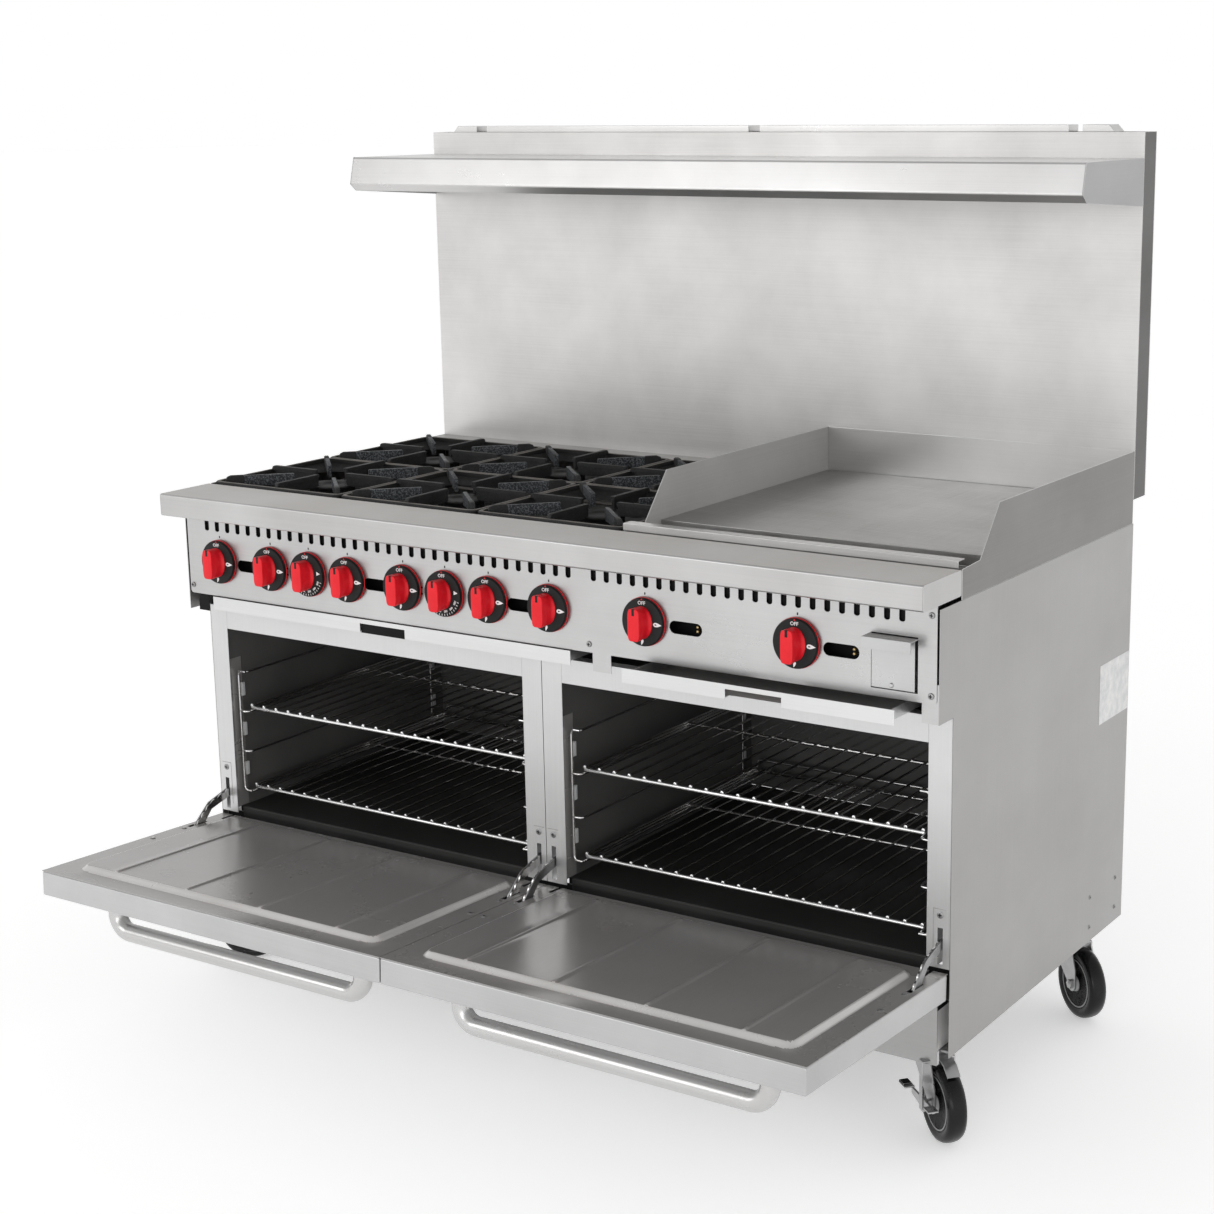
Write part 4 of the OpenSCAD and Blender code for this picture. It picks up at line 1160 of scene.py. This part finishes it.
def grate_piece(node):
    """Cast grate: square rim, sloping skirt, four straight bars and four rough corner webs."""
    low, high = box_mm(node)
    half_x, half_y = (high.x - low.x) / 2, (high.y - low.y) / 2
    place = DESIGN @ Matrix.Translation(((low.x + high.x) / 2, (low.y + high.y) / 2, DECK_Z))
    bm = bmesh.new()

    def ring(inset, power, z):
        return [Vector(p) for p in superellipse(half_x - inset, half_y - inset, power, z, 88)]

    outside = [ring(2.5, 24, -10), ring(1, 26, -8), ring(0.3, 28, 1.5), ring(1.2, 26, 3.2)]
    land = [ring(1.2, 26, 3.2), ring(2.2, 26, 4), ring(5.0, 22, 4), ring(6.0, 21, 3.2)]
    skirt = [ring(6.0, 21, 3.2), ring(8, 19, -4), ring(20, 11, -9), ring(34, 7, -12.4),
             ring(36, 6, -14)]
    under = [ring(36, 6, -14), ring(32, 7, -14.5), ring(18, 12, -11.6), ring(7, 19, -10),
             ring(2.5, 24, -10)]
    # The sloping skirt takes the darkened iron: painted shade.
    for rings, material in ((outside, 0), (land, 1), (skirt, 2), (under, 0)):
        add_rings(bm, rings, material, caps=False)
    bmesh.ops.remove_doubles(bm, verts=bm.verts, dist=0.01)
    for k in range(8):
        turn = Matrix.Rotation(math.radians(45 * k), 4, "Z")
        end = (half_y if k % 4 else half_x) - 5
        if k % 2:
            reach = half_x * math.sqrt(2) - 22
            web = [(68, -13), (68, 9.6), (70, 11), (reach - 30, 11), (reach - 24, -5.6), (110, -10)]
            block = [(reach - 34, 10), (reach - 31, 12), (reach - 9, 12), (reach - 2, 9),
                     (reach, 3), (reach - 8, -3), (reach - 34, -6)]
            add_plate(bm, turn, web, 3.6, 0.8, 3)
            add_plate(bm, turn, block, 4.4, 1.2)
        else:
            bar = [(37, 4), (37, 9.8), (38.4, 11), (end - 6, 11), (end - 2, 9.4), (end, 4.6),
                   (end - 3, 2), (end - 12, 3.6)]
            web = [(38, 4.2), (38, -10.4), (49, -13), (74, -13), (end - 14, -6), (end - 6, 2),
                   (end - 16, 4.2)]
            add_plate(bm, turn, web, 2.8, 0.8)
            add_plate(bm, turn, bar, 4.3, 1.1)
    finish(bm, node + "_cast", node, [IRON, IRON_RIM, IRON_SHADE, IRON_ROUGH], place,
           (node,))


for number in range(1, 7):
    grate_piece(f"grate_{number}")


def top_burners():
    """Cast burner bodies, rings of ports, broad flat caps and mixing tubes."""
    low, high = box_mm("top_burners")
    # Radius, height and whether the ring of ports cuts into it
    cap = ((42, 897.6, 0), (42, 898.8, 0), (42, 899, 1), (42, 905.8, 1), (42, 906, 0),
           (45.4, 907.4, 0), (46, 908.6, 0), (45.6, 910.6, 0), (43.6, 911.6, 0), (18, 911.8, 0),
           (16, 910.6, 0), (0.1, 910.6, 0))
    collar = [(10.8, -122), (14, -121), (14, -104), (10.8, -102)]
    bm = bmesh.new()
    for x in (low.x + 46, (low.x + high.x) / 2, high.x - 46):
        for y in (226.0, 535.0):
            add_lathe(bm, [(30, 861.4), (36, 862.2), (36, 890), (41, 896), (42, 897.6)], (x, y, 0))
            rings = []
            for radius, z, tooth in cap:
                ring = []
                for k in range(96):
                    a = math.tau * k / 96
                    r = radius - (1.8 if tooth and k % 4 < 2 else 0)
                    ring.append(Vector((x + r * math.cos(a), y + r * math.sin(a), z)))
                rings.append(ring)
            add_rings(bm, rings)
            add_tube(bm, [(x, y - 122, 873), (x, y - 100, 873), (x, y - 30, 873)], 10.8, 24)
            add_lathe(bm, collar, (x, y, 873), "y", 24)
    # The burners take the darkened iron: painted shade.
    finish(bm, "top_burners_cast", "range_body", [IRON_SHADE],
           replaces=("top_burners",))


top_burners()


# ---------------------------------------------------------------- casters
def brake_strap(bm, s, top):
    """Strap from the lock lever up over the crown, with the shoe that presses on the tyre."""
    outer = 39.5
    near, far = span(s, 37.6, outer)
    add_prism(bm, [(TRAIL - 5, WHEEL_R - 7), (TRAIL + 5, WHEEL_R - 7), (TRAIL + 6, top + 2),
                   (TRAIL - 6, top + 2)], near, far, "y")
    near, far = span(s, outer, -12)
    round_block(bm, (TRAIL - 6, near, top), (TRAIL + 8, far, top + 2.4), 0.8)
    shoe = [(TRAIL + 6, top + 2.4), (TRAIL + 24, top - 1), (TRAIL + 40, top - 15),
            (TRAIL + 38, top - 17), (TRAIL + 22, top - 4), (TRAIL + 6, top)]
    add_prism(bm, shoe, -11, 11, "y")


def caster_fork(side_name, end):
    """Swivel race, pressed crown and legs, axle bolt and nut."""
    place = caster_place(SIDES[side_name], end)
    bm = bmesh.new()
    add_lathe(bm, [(8, 152.5), (26, 152.5), (27.5, 150.5), (27.5, 147), (30, 145.5), (30, 142.5),
                   (27, 140.4), (20, 140.2), (20, 137.2), (8, 137.2)], steps=48)
    leg_in, leg_t, crown = 19.0, 3.0, 133.0
    round_block(bm, (-30, -leg_in - leg_t, crown), (40, leg_in + leg_t, crown + 4), 1.6)
    add_lathe(bm, [(14, crown + 3.8), (13, crown + 5.6), (8, crown + 6)], steps=24)
    for s in (-1, 1):
        outline = ([(-30, crown + 2), (-30, crown - 9), (-14, 104), (TRAIL - 13, WHEEL_R)]
                   + arc((TRAIL, WHEEL_R), 13, 180, 360, 16)
                   + [(TRAIL + 11, 92), (40, crown - 6), (40, crown + 2)])
        near, far = span(s, leg_in, leg_in + leg_t)
        add_prism(bm, outline, near, far, "y")
        nut = [(8.4 * math.cos(math.radians(60 * k)), 8.4 * math.sin(math.radians(60 * k)))
               for k in range(6)]
        near, far = span(s, 22.2, 27.4)
        faces = add_prism(bm, nut, near, far, "y")
        shift(faces, (TRAIL, 0, WHEEL_R))
        add_lathe(bm, [(0, s * 27), (5, s * 27), (5, s * 28), (4, s * 28.4), (0, s * 28.4)],
                  (TRAIL, 0, WHEEL_R), "y", 20)
    add_tube(bm, [(TRAIL, -18.5, WHEEL_R), (TRAIL, 18.5, WHEEL_R)], 5, 20)
    if end == "front":
        brake_strap(bm, -SIDES[side_name], crown + 4.3)
    name = f"{end}_{side_name}_fork"
    finish(bm, name + "_pressed", name, [ZINC], place, (name,), bevel=0.5)


def caster_wheel(side_name, end):
    """Rounded tyre on a dished hub with a pale ring and a boss."""
    place = caster_place(SIDES[side_name], end)
    bm = bmesh.new()
    spot = (TRAIL, 0, WHEEL_R)
    tread = 16.0
    shoulder = [(46, -tread + 2.5), (50, -tread + 0.4), (55, -tread), (59.5, -tread + 2.0),
                (62.2, -tread + 6.5), (WHEEL_R - 0.4, -tread + 11), (WHEEL_R, 0)]
    tyre = shoulder + [(r, -h) for r, h in shoulder[-2::-1]] + [(44, 0), (46, -tread + 2.5)]
    add_lathe(bm, tyre, spot, "y", 72)
    hub = [(5.3, -18), (12, -18), (14, -16.4), (15, -10), (18, -8.4), (34, -8.4), (37, -10.4),
           (39.5, -13.0), (43.5, -13.4), (46, -13)]
    add_lathe(bm, hub + [(r, -h) for r, h in hub[::-1]] + [hub[0]], spot, "y", 72, 1)
    for s in (-1, 1):
        ring = [(41.0, s * 13.2), (41.4, s * 14.2), (43.2, s * 14.2), (43.8, s * 13.2)]
        add_lathe(bm, ring, spot, "y", 72, 2)
    name = f"{end}_{side_name}_wheel"
    finish(bm, name + "_tyred", name, [TYRE, HUB, HUB_RING], place, (name,))


def brake_pedal(side_name):
    """Rocking lock lever with a ribbed black toe pad."""
    side = SIDES[side_name]
    s = -side
    bm = bmesh.new()
    x, z = TRAIL, WHEEL_R
    near, far = span(s, 28.6, 33)
    add_lathe(bm, [(5, near), (9, near), (9, far), (5, far)], (x, 0, z), "y", 28)
    near, far = span(s, 33, 37)
    plate = ([(x - 42, z + 2), (x - 10, z - 3)] + arc((x, z), 11, 200, 340, 12)
             + [(x + 10, z - 1), (x + 42, z + 4), (x + 42, z + 12), (x + 14, z + 12),
                (x, z + 15), (x - 14, z + 12), (x - 42, z + 12)])
    add_prism(bm, plate, near, far, "y")
    near, far = span(s, 33, 50.8)
    round_block(bm, (x - 61.5, near, z + 13), (x - 36, far, z + 16), 1.2)
    round_block(bm, (x + 36, near, z + 13), (x + 58, far, z + 16), 1.2)
    near, far = span(s, 34.5, 50)
    round_block(bm, (x - 62, near, z + 15.2), (x - 44, far, z + 18), 0.9, 1)
    name = side_name + "_brake_pedal"
    finish(bm, name + "_lever", name, [ZINC, BLACK_AND_SHADE], caster_place(side, "front"),
           (name,), bevel=0.5)


for end in CASTER_YS:
    for side_name in SIDES:
        caster_fork(side_name, end)
        caster_wheel(side_name, end)
for side_name in SIDES:
    brake_pedal(side_name)


# ---------------------------------------------------------------- stage, lights and camera
def floor():
    """A wide pale floor."""
    bm = bmesh.new()
    size, count = 60.0, 12
    rows = [[bm.verts.new((size * (2 * i / count - 1), size * (2 * j / count - 1), 0))
             for i in range(count + 1)] for j in range(count + 1)]
    for j in range(count):
        for i in range(count):
            bm.faces.new((rows[j][i], rows[j][i + 1], rows[j + 1][i + 1], rows[j + 1][i]))
    mesh = bpy.data.meshes.new("floor")
    bm.to_mesh(mesh)
    bm.free()
    g = Graph("pale_floor", Roughness=0.8, Specular_IOR_Level=0.1, Emission_Strength=0.42)
    clouds = g.noise(0.6, 3.0)
    g.colour(g.mix(clouds, rgb(0.86), rgb(0.90)))
    g.shader.inputs["Emission Color"].default_value = rgb(1.0)
    mesh.materials.append(g.material)
    plane = bpy.data.objects.new("floor", mesh)
    link(plane)


def area_light(name, spot, target, size, power):
    lamp = bpy.data.lights.new(name, "AREA")
    lamp.shape = "RECTANGLE"
    lamp.size, lamp.size_y = size
    lamp.energy = power
    holder = bpy.data.objects.new(name, lamp)
    holder.location = spot
    holder.rotation_euler = (Vector(target) - Vector(spot)).to_track_quat("-Z", "Y").to_euler()
    link(holder)


def world(low, high):
    """Even pale surroundings that grow dimmer overhead."""
    scene_world = bpy.data.worlds.new("studio")
    scene_world.use_nodes = True
    tree = scene_world.node_tree
    place = tree.nodes.new("ShaderNodeTexCoord")
    parts = tree.nodes.new("ShaderNodeSeparateXYZ")
    level = tree.nodes.new("ShaderNodeMapRange")
    for socket, value in (("From Min", 0.25), ("From Max", 0.9), ("To Min", low), ("To Max", high)):
        level.inputs[socket].default_value = value
    tree.links.new(place.outputs["Generated"], parts.inputs[0])
    tree.links.new(parts.outputs["Z"], level.inputs["Value"])
    tree.links.new(level.outputs[0], tree.nodes["Background"].inputs["Strength"])
    tree.nodes["Background"].inputs["Color"].default_value = rgb(1.0)
    bpy.context.scene.world = scene_world


def camera():
    """The viewing angle: from the front right, a little above the cooking deck."""
    yaw, pitch, roll = math.radians(-32.21), math.radians(-12.48), math.radians(-0.584)
    ahead = Vector((math.sin(yaw) * math.cos(pitch), math.cos(yaw) * math.cos(pitch),
                    math.sin(pitch)))
    right = Vector((math.cos(yaw), -math.sin(yaw), 0))
    up = right.cross(ahead)
    across = right * math.cos(roll) + up * math.sin(roll)
    upward = up * math.cos(roll) - right * math.sin(roll)
    data = bpy.data.cameras.new("camera")
    data.lens, data.sensor_width = 64.32, 36.0
    data.shift_x, data.shift_y = -0.0905, -0.0233
    data.clip_end = 100
    view = bpy.data.objects.new("camera", data)
    turn = Matrix((across, upward, -ahead)).transposed().to_4x4()
    view.matrix_world = Matrix.Translation((2.1189, -2.9681, 1.6042)) @ turn
    link(view)
    bpy.context.scene.camera = view


floor()
world(1.0, 0.45)
area_light("key", (-2.8, -4.4, 2.6), (0, 0, 0.8), (2.6, 2.0), 30)
area_light("fill", (1.2, -4.6, 1.1), (0, 0, 0.45), (3.0, 1.2), 22)
camera()
bpy.context.scene.view_settings.view_transform = "Standard"
